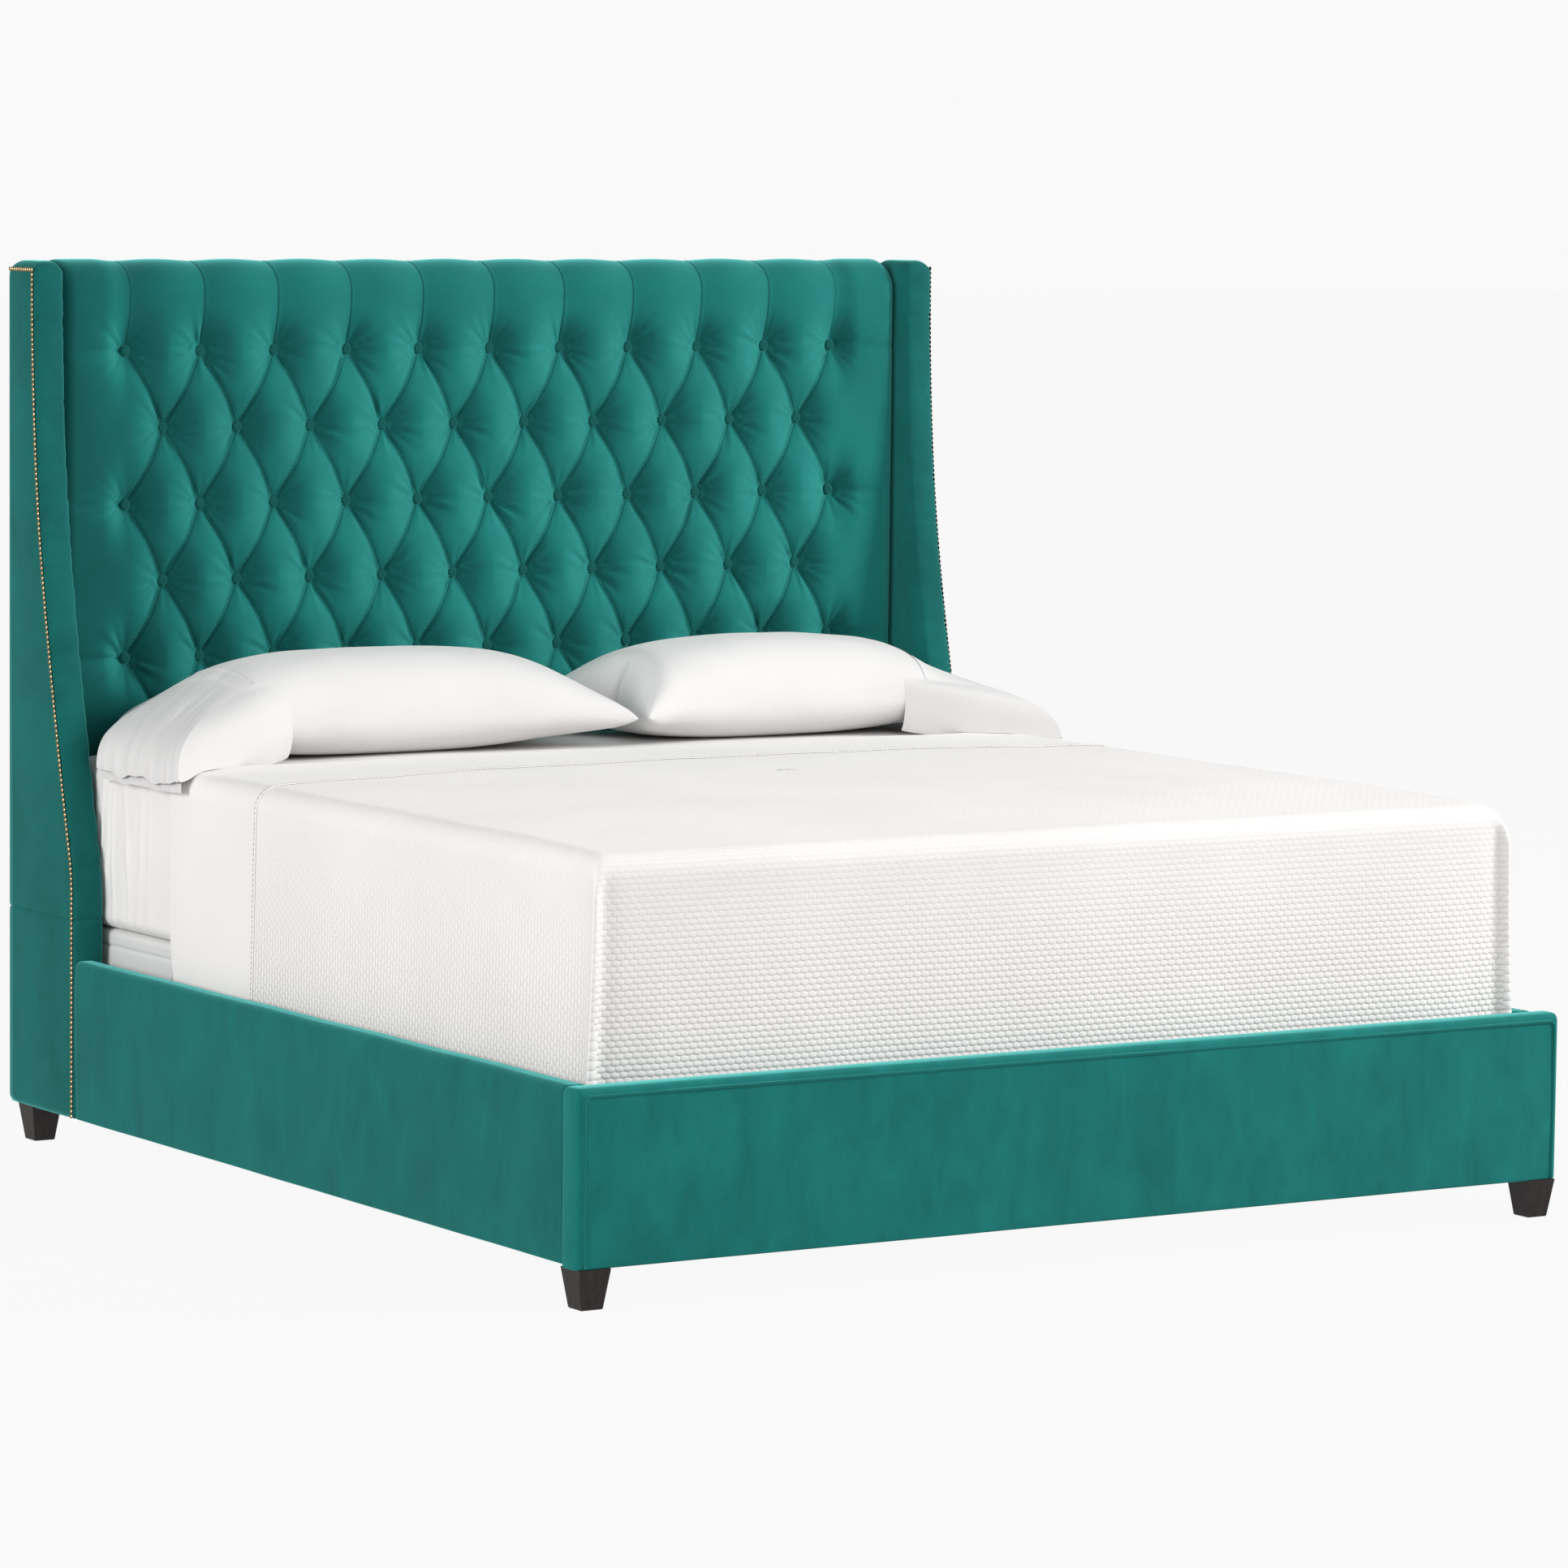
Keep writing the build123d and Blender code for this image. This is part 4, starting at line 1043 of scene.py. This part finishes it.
def mattress():
    """The mattress in its ticking, under the fitted sheet."""
    low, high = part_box("mattress_cover")
    loops = []
    corner = 0.056
    for t in np.linspace(0, 1, 40):
        z = low.z + (high.z - 0.0015 - low.z) * t
        edge = min(z - low.z, high.z - z)
        radius = 0.025 if t < 0.5 else EDGE_RADIUS - 0.014
        inset = rounding(edge, radius) + 0.0012 - 0.0006 * math.sin(math.pi * t)
        loops.append(block_loop(low, high, inset, z, corner))
    for inset in (0.04, 0.07, 0.12, 0.25, 0.5, 0.75, 0.9):
        loops.append(block_loop(low, high, inset, high.z - 0.0015, 0.01))
    obj = loft_object("mattress_body", loops)
    place(obj, TICKING, "mattress", "ticking_white", "mattress_core", "mattress_cover")


def block_loop(low, high, inset, z, corner, divide=24, near_head=0):
    """A level rounded rectangle inside a box, with even points on its sides or extra ones near the head."""
    half, y0, y1 = high.x - inset, low.y + inset, high.y - inset
    even = np.linspace(0, 1, divide)[1:-1]
    long = even
    if near_head:
        long = np.concatenate([np.linspace(0, 0.21, near_head)[1:], np.linspace(0.21, 1, 34)[1:-1]])
    points = []
    for quarter, (cx, cy) in enumerate(((half, y1), (-half, y1), (-half, y0), (half, y0))):
        mx = cx - math.copysign(corner, cx)
        my = cy - corner if cy == y1 else cy + corner
        arc = [(mx + corner * c, my + corner * s) for c, s in quarter_turn(8, quarter)]
        if points:
            points += between(points[-1], arc[0], long if quarter == 2 else even)
        points += arc
    points += between(points[-1], points[0], 1 - long[::-1])
    return [(x, y, z) for x, y in points]


def sheet_levels(low_z, high_z, edge, under):
    """Inset and height of the fitted sheet from where it tucks under, up the side and over the edge."""
    levels = [(under + 0.03, low_z), (under + 0.012, low_z)]
    levels += [(under * (1 - s), low_z + under * (1 - c)) for c, s in quarter_turn()]
    levels += [(0.0, z) for z in np.linspace(low_z + under, high_z - edge, 22)[1:-1]]
    return levels + [(edge * (1 - c), high_z - edge + edge * s) for c, s in quarter_turn()]


# Folds of the fitted sheet: where along the bed, how wide and how high.
FITTED_FOLDS = [
    (0.815, 0.0052, 0.0062), (0.832, 0.0042, 0.0050), (0.846, 0.0046, 0.0066), (0.790, 0.0060, 0.0040),
    (0.742, 0.0090, 0.0028), (0.690, 0.0120, 0.0018), (0.870, 0.0050, 0.0040), (0.640, 0.0100, 0.0014),
]


def side_folds(y, t):
    """Upright tension folds of the fitted sheet near the head end."""
    folds = 0.0
    for centre, width, height in FITTED_FOLDS:
        lean = centre + 0.010 * math.sin(3.0 * t + 40 * centre)
        folds += height * math.exp(-(((y - lean) / width) ** 2))
    return folds * (0.35 + 0.65 * math.sin(math.pi * min(1.0, max(0.0, t))))


def fitted_sheet():
    """The fitted sheet, pulled over the mattress and tucked under it, with tension folds near the head."""
    low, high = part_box("fitted_sheet")
    under_z = CORE_LOW.z - TICKING_DEEP + 0.0012
    loops = []
    for inset, z in sheet_levels(under_z, high.z, EDGE_RADIUS - 0.011, 0.026):
        t = (z - under_z) / (high.z - under_z)
        loop = []
        for x, y, _ in block_loop(low, high, inset, z, 0.05, 60, 120):
            side = abs(abs(x) - (high.x - inset)) < 0.004
            out = side_folds(y, t) if side and y > 0.5 else 0.0
            out += 0.0022 * float(1 - smoothstep(t, 0.04, 0.16))
            out += 0.0012 * wobble(y + x, z, 0.14, SEEDS["sheet side"]) * (inset < 0.02)
            px = x + (math.copysign(out, x) if side else 0.0)
            py = y if side else y + math.copysign(0.3 * out, y)
            loop.append((px, py, z))
        loops.append(loop)
    for inset in (0.05, 0.07, 0.10, 0.14, 0.22, 0.32, 0.45, 0.6, 0.78, 0.93):
        loop = []
        for x, y, z in block_loop(low, high, inset, high.z, 0.02, 60, 120):
            z += float(crown(np.array(x), np.array(y))) * min(1.0, inset / 0.06)
            z += 0.0010 * wobble(x, y, 0.25, SEEDS["sheet top"])
            loop.append((x, y, z))
        loops.append(loop)
    obj = grid_object("fitted_sheet_cloth", np.array(loops), wrap=True)
    solidify(obj, SHEET_THICK)
    place(obj, SHEET, "mattress", "sheet_cotton", "fitted_sheet")


def fold_values():
    """Distances along the bed and lifts of the cuff, from its hem to the fold and round under it."""
    ys = list(np.linspace(CUFF_Y, FOLD_Y - 0.006, 44))
    lifts = [0.0004, 0.0008] + [0.0] * (len(ys) - 2)
    under = UNDER_OFF - CUFF_OFF
    for i in range(1, 9):
        a = i / 8 * math.pi
        ys.append(FOLD_Y - 0.006 + 0.0045 * math.sin(a))
        lifts.append(under / 2 * (1 - math.cos(a)))
    return [*ys, FOLD_Y - 0.02, FOLD_Y - 0.05], [*lifts, under, under]


def flat_sheet():
    """The flat sheet: under the coverlet, and folded back over its head end as a plain band."""
    under = bedspread("flat_sheet_cloth", UNDER_OFF, HEM_Z + 0.05, FOLD_Y - 0.045,
                      EDGE_RADIUS - 0.005, 0.55, 0.002, SEEDS["bedding"], 0.0010)
    ys, lifts = fold_values()
    cuff = arch_strip("cuff", CUFF_OFF, HEM_Z, ys, EDGE_RADIUS + CUFF_OFF - COVERLET_OFF,
                      COVERLET_FLARE, COVERLET_RIPPLE, SEEDS["bedding"], lifts, 0.12)
    obj = join(under, cuff)
    solidify(obj, SHEET_THICK)
    place(obj, SHEET, "mattress", "sheet_cotton", "flat_sheet")


def coverlet():
    """The quilted coverlet over the foot two thirds of the bed."""
    obj = bedspread("coverlet_cloth", COVERLET_OFF, HEM_Z, FOLD_Y - 0.020, EDGE_RADIUS, 1.0,
                    COVERLET_FLARE, SEEDS["bedding"], COVERLET_RIPPLE)
    solidify(obj, COVERLET_THICK)
    place(obj, COVERLET, "mattress", "matelasse_cotton", "coverlet")


def hem_stitches():
    """A row of stitches beside the hem of the turned-down sheet, across the top and down both sides."""
    y = CUFF_Y + 0.006
    guide = arch_strip("guide", CUFF_OFF + 0.0013, HEM_Z, [y, y + 0.01], EDGE_RADIUS + 0.0016,
                       COVERLET_FLARE, COVERLET_RIPPLE, SEEDS["bedding"], [0.0, 0.0], 0.0)
    half_count = len(guide.data.vertices) // 2
    path = np.array([v.co for v in guide.data.vertices])[:half_count]
    bpy.data.objects.remove(guide)
    lengths = np.concatenate([[0], np.cumsum(np.linalg.norm(np.diff(path, axis=0), axis=1))])
    pieces = []
    for start in np.arange(0, lengths[-1] - STITCH_LONG, STITCH_STEP):
        at = start + STITCH_LONG * np.array([0, 0.5, 1.0])
        points = [(np.interp(a, lengths, path[:, 0]), y, np.interp(a, lengths, path[:, 2])) for a in at]
        pieces.append(tube("stitch", points, STITCH_R, 5))
    obj = join(*pieces)
    obj.name = "hem_stitches"
    place(obj, STITCH, "mattress", "sheet_cotton")


SEAM_AT = 0.86


def box_spring():
    """The box spring's padded cloth cover, with a seam round its top edge."""
    low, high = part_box("foundation_cover")
    loops = []
    height = high.z - low.z
    for t in np.concatenate([np.linspace(0, 0.82, 18), np.linspace(0.84, 1, 14)]):
        z = low.z + height * t
        edge = min(z - low.z, high.z - z)
        seam = 0.003 * math.exp(-(((t - SEAM_AT) / 0.012) ** 2))
        belly = 0.0015 * math.sin(math.pi * min(1.0, t / SEAM_AT))
        grow = rounding(edge, 0.014) + seam - belly + 0.0016
        loops.append(block_loop(low, high, grow, z, 0.054, 40))
    for inset in (0.03, 0.06, 0.12, 0.3, 0.6, 0.85):
        loops.append(block_loop(low, high, inset, high.z, 0.02, 40))
    obj = loft_object("box_spring_cover", loops)
    place(obj, TICKING, "foundation", "ticking_white", "foundation_cover")


mattress()
fitted_sheet()
flat_sheet()
coverlet()
hem_stitches()
box_spring()


# ---- pillows ----
PILLOW_COLUMNS = 74
PILLOW_ROWS = 40
PILLOW_FLAT = (0.945, 0.50, 0.10)
SWELL_FRAMES = 26
PUCKER_PASSES = 34
BELLY_FLAT = 0.30
END_DROOP = 0.012
FLAP_WIDE = 45
FLAP_LONG = 40
FLAP_CLEAR = 0.001
BARE_OFF = 0.004
GUSSET_AT = 0.80
GUSSET_DROP = 0.030
GUSSET_WIDE = 12
# Folds of the open end: where across it, how wide and how high.
FLAP_FOLDS = [
    (0.05, 0.012, 0.0022), (0.13, 0.016, 0.0030), (0.22, 0.011, 0.0020), (0.34, 0.020, 0.0032),
    (0.47, 0.013, 0.0020), (0.60, 0.018, 0.0028), (0.76, 0.022, 0.0030), (0.90, 0.014, 0.0020),
]


def pillow_grid(name):
    """A flat pillow to inflate: two panels sewn together round the edge."""
    across, deep = PILLOW_COLUMNS, PILLOW_ROWS
    length, depth, thick = PILLOW_FLAT
    points, index = [], {}
    faces = []
    for layer in (1, -1):
        for i in range(deep + 1):
            for j in range(across + 1):
                rim = i in (0, deep) or j in (0, across)
                if rim and layer == -1:
                    index[(layer, i, j)] = index[(1, i, j)]
                    continue
                u, v = j / across * 2 - 1, i / deep * 2 - 1
                dome = (1 - u**4) * (1 - v**4)
                z = layer * 0.5 * thick * dome**0.8
                index[(layer, i, j)] = len(points)
                points.append((u * length / 2, v * depth / 2, z))
    for layer in (1, -1):
        for i in range(deep):
            for j in range(across):
                quad = [index[(layer, i, j)], index[(layer, i, j + 1)],
                        index[(layer, i + 1, j + 1)], index[(layer, i + 1, j)]]
                faces.append(tuple(quad if layer == 1 else quad[::-1]))
    return new_object(name, points, faces)


def inflate(obj):
    """Swells the pillow by cloth simulation, and keeps only its result."""
    modifier = obj.modifiers.new("cloth", "CLOTH")
    settings = modifier.settings
    settings.quality = 6
    settings.mass = 0.25
    settings.tension_stiffness = 22
    settings.compression_stiffness = 22
    settings.shear_stiffness = 9
    settings.bending_stiffness = 0.35
    settings.air_damping = 6
    settings.use_pressure = True
    settings.uniform_pressure_force = 7.5
    settings.shrink_min = -0.02
    settings.effector_weights.gravity = 0
    modifier.collision_settings.use_collision = False
    modifier.point_cache.frame_start = 1
    modifier.point_cache.frame_end = SWELL_FRAMES
    scene = bpy.context.scene
    for number in range(1, SWELL_FRAMES + 1):
        scene.frame_set(number)
    shape = obj.evaluated_get(bpy.context.evaluated_depsgraph_get()).to_mesh()
    result = unpuckered(np.array([v.co for v in shape.vertices]))
    obj.modifiers.remove(modifier)
    obj.data.vertices.foreach_set("co", result.ravel())
    obj.data.update()
    scene.frame_set(1)


def unpuckered(points):
    """Smooths the small puckers along a pillow's long sides, and leaves its ends alone."""
    rows, columns = PILLOW_ROWS + 1, PILLOW_COLUMNS + 1
    count = rows * columns
    for part, wide in ((points[:count].reshape(rows, columns, 3), columns),
                       (points[count:].reshape(rows - 2, columns - 2, 3), columns - 2)):
        reach = np.abs(np.linspace(-1, 1, wide))
        weight = (1 - smoothstep(reach, 0.78, 0.94))[None, 1:-1, None]
        for _ in range(PUCKER_PASSES):
            middle = part[:, 1:-1]
            part[:, 1:-1] = middle + weight * 0.5 * ((part[:, :-2] + part[:, 2:]) / 2 - middle)
    return points


def pillow_base():
    """The swollen pillow shape that both pillows share, with its long side along X."""
    obj = pillow_grid("pillow_base")
    inflate(obj)
    return obj


def fit_pillow(base, node, side):
    """The base shape fitted to a pillow's CAD box, flat where it rests on the bed."""
    low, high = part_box(node)
    points = np.array([v.co for v in base.data.vertices])
    span_low, span_high = points.min(0), points.max(0)
    unit = (points - (span_low + span_high) / 2) / (span_high - span_low)
    size = high - low
    heavy = 0.5 + unit[:, 2]
    settle = np.where(heavy < 0.5, 0.5 - (0.5 - heavy) * 0.62, heavy)
    settle = (settle - settle.min()) / (settle.max() - settle.min())
    settle = settle * (1 - BELLY_FLAT) + BELLY_FLAT * smoothstep(settle, 0.0, 1.0)
    px = (low.x + high.x) / 2 - side * unit[:, 0] * size[0]
    py = (low.y + high.y) / 2 + unit[:, 1] * size[1]
    pz = low.z + settle * size[2]
    end = np.abs(unit[:, 0]) * 2
    pz = np.maximum(pz - END_DROOP * smoothstep(end, 0.65, 1.0), low.z + 0.0005)
    pz += 0.0020 * noise(px, py, 0.30, SEEDS["pillow"] + int(side > 0), 2) * smoothstep(settle, 0.1, 0.5)
    return np.stack([px, py, pz], -1)


def bezier(p0, p1, p2, p3, u):
    """A point on a cubic curve."""
    v = 1 - u
    return v**3 * p0 + 3 * v**2 * u * p1 + 3 * v * u**2 * p2 + u**3 * p3


def full_layers(points, side):
    """The pillow's upper and lower layers as grids, front row first and outer end last."""
    rows, columns = PILLOW_ROWS + 1, PILLOW_COLUMNS + 1
    upper = points[:rows * columns].reshape(rows, columns, 3)
    lower = upper.copy()
    lower[1:-1, 1:-1] = points[rows * columns:].reshape(rows - 2, columns - 2, 3)
    if side * (upper[0, -1, 0] - upper[0, 0, 0]) < 0:
        upper, lower = upper[:, ::-1], lower[:, ::-1]
    return upper, lower


def above_bed(point):
    """The same point, lifted where it would sink into the bedding's top or its rounded edge."""
    offset = CUFF_OFF if point[1] < FOLD_Y + 0.01 else BARE_OFF
    half, radius = HALF + offset, EDGE_RADIUS
    past = abs(point[0]) - (half - radius)
    if past >= radius:
        return point
    sink = radius - math.sqrt(radius**2 - max(0.0, past) ** 2)
    low = TOP + offset + FLAP_CLEAR - sink + float(crown(point[0], point[1]))
    return np.array([point[0], point[1], max(point[2], low)])


def flap_line(layer, t, start, onward, hem, side):
    """One line of the flap, from the pillow's shoulder or seam down to the hem."""
    if layer == 0:
        first = start + onward * 1.15
        second = hem + np.array([side * 0.002, 0.02 * (1 - t), 0.100])
    else:
        first = start + np.array([side * 0.06, 0, 0.002])
        second = hem + np.array([0, 0.01, 0.055])
    line = []
    for u in np.linspace(0, 1, FLAP_LONG):
        fold = sum(high * math.exp(-(((t - at - 0.05 * (1 - u)) / wide) ** 2))
                   for at, wide, high in FLAP_FOLDS)
        grow = float(smoothstep(u, 0.05, 0.55)) * (1 - 0.3 * layer)
        point = bezier(start, first, second, hem, u) + np.array([side * 0.8, 0, 0.6]) * fold * grow
        line.append(above_bed(point))
    return line


def front_gusset(edge, upper, lower, front):
    """Cloth between the flap's front edge and the pillow's front, down to where it rests on the bed."""
    rows = upper.shape[0]
    column = round(GUSSET_AT * (upper.shape[1] - 1))
    first = front * (rows - 1)
    body = [[np.interp(r, np.arange(rows), upper[:, column, k]) for k in range(3)]
            for r in np.linspace(first, 0, 20)]
    body += [lower[r, column] for r in range(1, 6)]
    body = np.array(body)
    steps = np.linspace(0, 1, len(body))
    grid = []
    for index, u in enumerate(np.linspace(0, 1, len(edge))):
        target = np.array([np.interp(u, steps, body[:, k]) for k in range(3)])
        line = []
        for w in np.linspace(0, 1, GUSSET_WIDE):
            out = 0.014 * math.sin(math.pi * w) * math.sin(math.pi * min(1.0, 1.1 * u))
            down = GUSSET_DROP * smoothstep(u, 0.6, 1.0) * smoothstep(w, 0.0, 0.5)
            shift = np.array([0, -out, 0.25 * out - down])
            line.append(above_bed(edge[index] * (1 - w) + target * w + shift))
        grid.append(line)
    return np.array(grid)


def hem_flap(upper, lower, side, front, hem_y, hem_x, hem_z):
    """The open end of the pillowcase: two layers that fall over the edge of the bed, and a front fold."""
    rows, columns = upper.shape[:2]
    shoulder, onward = upper[:, round(0.84 * columns)], upper[:, round(0.94 * columns)]
    seam = upper[:, columns - 1]
    ts = np.linspace(0, 1, FLAP_WIDE)
    at = (front + (0.985 - front) * ts) * (rows - 1)

    def row_of(line):
        return np.stack([np.interp(at, np.arange(rows), line[:, k]) for k in range(3)], -1)

    p0, p1, tip = row_of(shoulder), row_of(onward), row_of(seam)
    grids = []
    for layer in (0, 1):
        grid = []
        for index, t in enumerate(ts):
            y = hem_y[0] + (hem_y[1] - hem_y[0]) * t
            wave = 0.0045 * math.sin(2 * math.pi * (2.3 * t + 0.15))
            wave += 0.002 * math.sin(2 * math.pi * 5.1 * t + 1.0)
            drop = hem_z + (0.012 + wave if layer == 0 else -0.004 + 0.25 * wave)
            hem = np.array([side * (hem_x - 0.006 * layer), y, drop])
            start = p0[index] + np.array([0, 0, 0.0012])
            if layer == 1:
                start = tip[index] + np.array([-side * 0.030, 0, -0.012])
            grid.append(flap_line(layer, t, start, p1[index] - p0[index], hem, side))
        grids.append(np.array(grid))
    gusset = front_gusset(grids[0][0], upper, lower, front)
    points = [grid.reshape(-1, 3) for grid in (*grids, gusset)]
    count = FLAP_WIDE * FLAP_LONG
    faces = grid_faces(FLAP_WIDE, FLAP_LONG, flip=side < 0)
    faces += grid_faces(FLAP_WIDE, FLAP_LONG, flip=side > 0, start=count)
    faces += grid_faces(FLAP_LONG, GUSSET_WIDE, flip=side < 0, start=2 * count)
    return np.concatenate(points), faces


def nestle(points, side, node):
    """Moves the inner front corners so that the left pillow's tip lies in front of the right one."""
    low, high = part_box(node)
    inner = (points[:, 0] - low.x) / (high.x - low.x)
    inner = inner if side < 0 else 1 - inner
    back = (points[:, 1] - low.y) / (high.y - low.y)
    shift = 0.036 if side < 0 else 0.048
    points[:, 0] += shift * smoothstep(inner, 0.80, 1.0) * (1 - smoothstep(back, 0.35, 0.75))
    return points


def pillow(base, side, name, node, case_node, front, hem_y, hem_x, hem_z):
    """A pillow in its case, with the case's open end hanging over the bed's edge."""
    points = nestle(fit_pillow(base, node, side), side, node)
    faces = [tuple(p.vertices) for p in base.data.polygons]
    if side > 0:
        faces = [f[::-1] for f in faces]
    upper, lower = full_layers(points, side)
    flap_points, flap_faces = hem_flap(upper, lower, side, front, hem_y, hem_x, hem_z)
    obj = join(new_object(name, points, faces), new_object("flap", flap_points, flap_faces))
    modifier = obj.modifiers.new("smooth", "SUBSURF")
    modifier.levels = modifier.render_levels = 1
    body = "left_pillow" if side < 0 else "right_pillow"
    place(obj, PILLOWCASE, body, "pillowcase_cotton", node, case_node)


base = pillow_base()
pillow(base, -1, "pillow_cased_left", "pillow_left", "pillowcase_left",
       0.22, (0.462, 0.806), 0.986, 0.728)
pillow(base, 1, "pillow_cased_right", "pillow_right", "pillowcase_right",
       0.08, (0.430, 0.800), 0.984, 0.735)
bpy.data.objects.remove(base)


# ---- studio ----
FLOOR_SIZE = 60.0
FLOOR_SHADE = 0.02
FLOOR_GLOW = 0.93
FLOOR_BOUNCE = 0.47
BACKDROP = 0.947
AMBIENT = 0.39
# Each lamp: where it is, where it points, how wide it is and its power in watts.
LAMPS = {
    "key": ((8.5, -4.5, 4.6), (0, 0.5, 1.0), 2.6, 930),
    "front": ((-1.0, -9.5, 4.6), (0, 0, 0.6), 4.0, 235),
    "fill": ((-9.0, -1.2, 3.0), (0, 0, 0.6), 4.0, 480),
}
CAMERA_AT = (-6.50973, -10.40897, 1.94689)
CAMERA_YAW = math.radians(32.23)
CAMERA_PITCH = math.radians(5.6)
CAMERA_ROLL = math.radians(0.63)
CAMERA_LENS = 150.73


def matte(name, colour):
    """Smooth painted studio surface."""
    n = Nodes(name)
    tone = n.tones(n.noise(0.7, 2.0, 0.5), 0.3, 0.7, colour, 0.995)
    n.set(Base_Color=tone, Roughness=0.95, Specular_IOR_Level=0.0)
    return n.material


def seen_directly(tree, socket, shown, cast):
    """A strength with one value as seen by the camera and another as light cast on the bed."""
    path = tree.nodes.new("ShaderNodeLightPath")
    strength = tree.nodes.new("ShaderNodeMapRange")
    strength.inputs["To Min"].default_value = cast
    strength.inputs["To Max"].default_value = shown
    tree.links.new(path.outputs["Is Camera Ray"], strength.inputs["Value"])
    tree.links.new(strength.outputs["Result"], socket)


def studio_floor():
    """A wide pale floor, lit evenly from within so that it blends with the studio behind."""
    points = [(x * FLOOR_SIZE, y * FLOOR_SIZE, 0) for x, y in ((-1, -1), (1, -1), (1, 1), (-1, 1))]
    obj = new_object("studio_floor", points, [(0, 1, 2, 3)])
    floor = matte("studio_pale", grey(FLOOR_SHADE))
    shader = floor.node_tree.nodes["Principled BSDF"]
    shader.inputs["Emission Color"].default_value = (1, 1, 1, 1)
    seen_directly(floor.node_tree, shader.inputs["Emission Strength"], FLOOR_GLOW, FLOOR_BOUNCE)
    obj.data.materials.append(floor)


def area_light(name, place_at, target, size, power):
    """A soft square light pointing at a target."""
    data = bpy.data.lights.new(name, "AREA")
    data.shape = "SQUARE"
    data.size = size
    data.energy = power
    obj = bpy.data.objects.new(name, data)
    obj.location = place_at
    direction = Vector(target) - Vector(place_at)
    obj.rotation_euler = direction.to_track_quat("-Z", "Y").to_euler()
    bpy.context.scene.collection.objects.link(obj)


def studio():
    """World light, lamps and colour handling."""
    world = bpy.data.worlds.new("studio")
    world.use_nodes = True
    tree = world.node_tree
    background = tree.nodes["Background"]
    background.inputs["Color"].default_value = (1.0, 1.0, 1.0, 1)
    seen_directly(tree, background.inputs["Strength"], BACKDROP, AMBIENT)
    scene = bpy.context.scene
    scene.world = world
    scene.view_settings.view_transform = "Standard"
    for name, values in LAMPS.items():
        area_light(name, *values)


def camera():
    """The camera at the photograph's viewing angle."""
    data = bpy.data.cameras.new("camera")
    data.lens = CAMERA_LENS
    data.sensor_width = 36.0
    data.clip_end = 200.0
    right = Vector((math.cos(CAMERA_YAW), -math.sin(CAMERA_YAW), 0))
    level = Vector((math.sin(CAMERA_YAW), math.cos(CAMERA_YAW), 0))
    forward = level * math.cos(CAMERA_PITCH) - Vector((0, 0, math.sin(CAMERA_PITCH)))
    up = level * math.sin(CAMERA_PITCH) + Vector((0, 0, math.cos(CAMERA_PITCH)))
    x_axis = right * math.cos(CAMERA_ROLL) + up * math.sin(CAMERA_ROLL)
    y_axis = -right * math.sin(CAMERA_ROLL) + up * math.cos(CAMERA_ROLL)
    matrix = Matrix((x_axis, y_axis, -forward)).transposed().to_4x4()
    matrix.translation = Vector(CAMERA_AT)
    obj = bpy.data.objects.new("camera", data)
    obj.matrix_world = matrix
    bpy.context.scene.collection.objects.link(obj)
    bpy.context.scene.camera = obj


studio_floor()
studio()
camera()
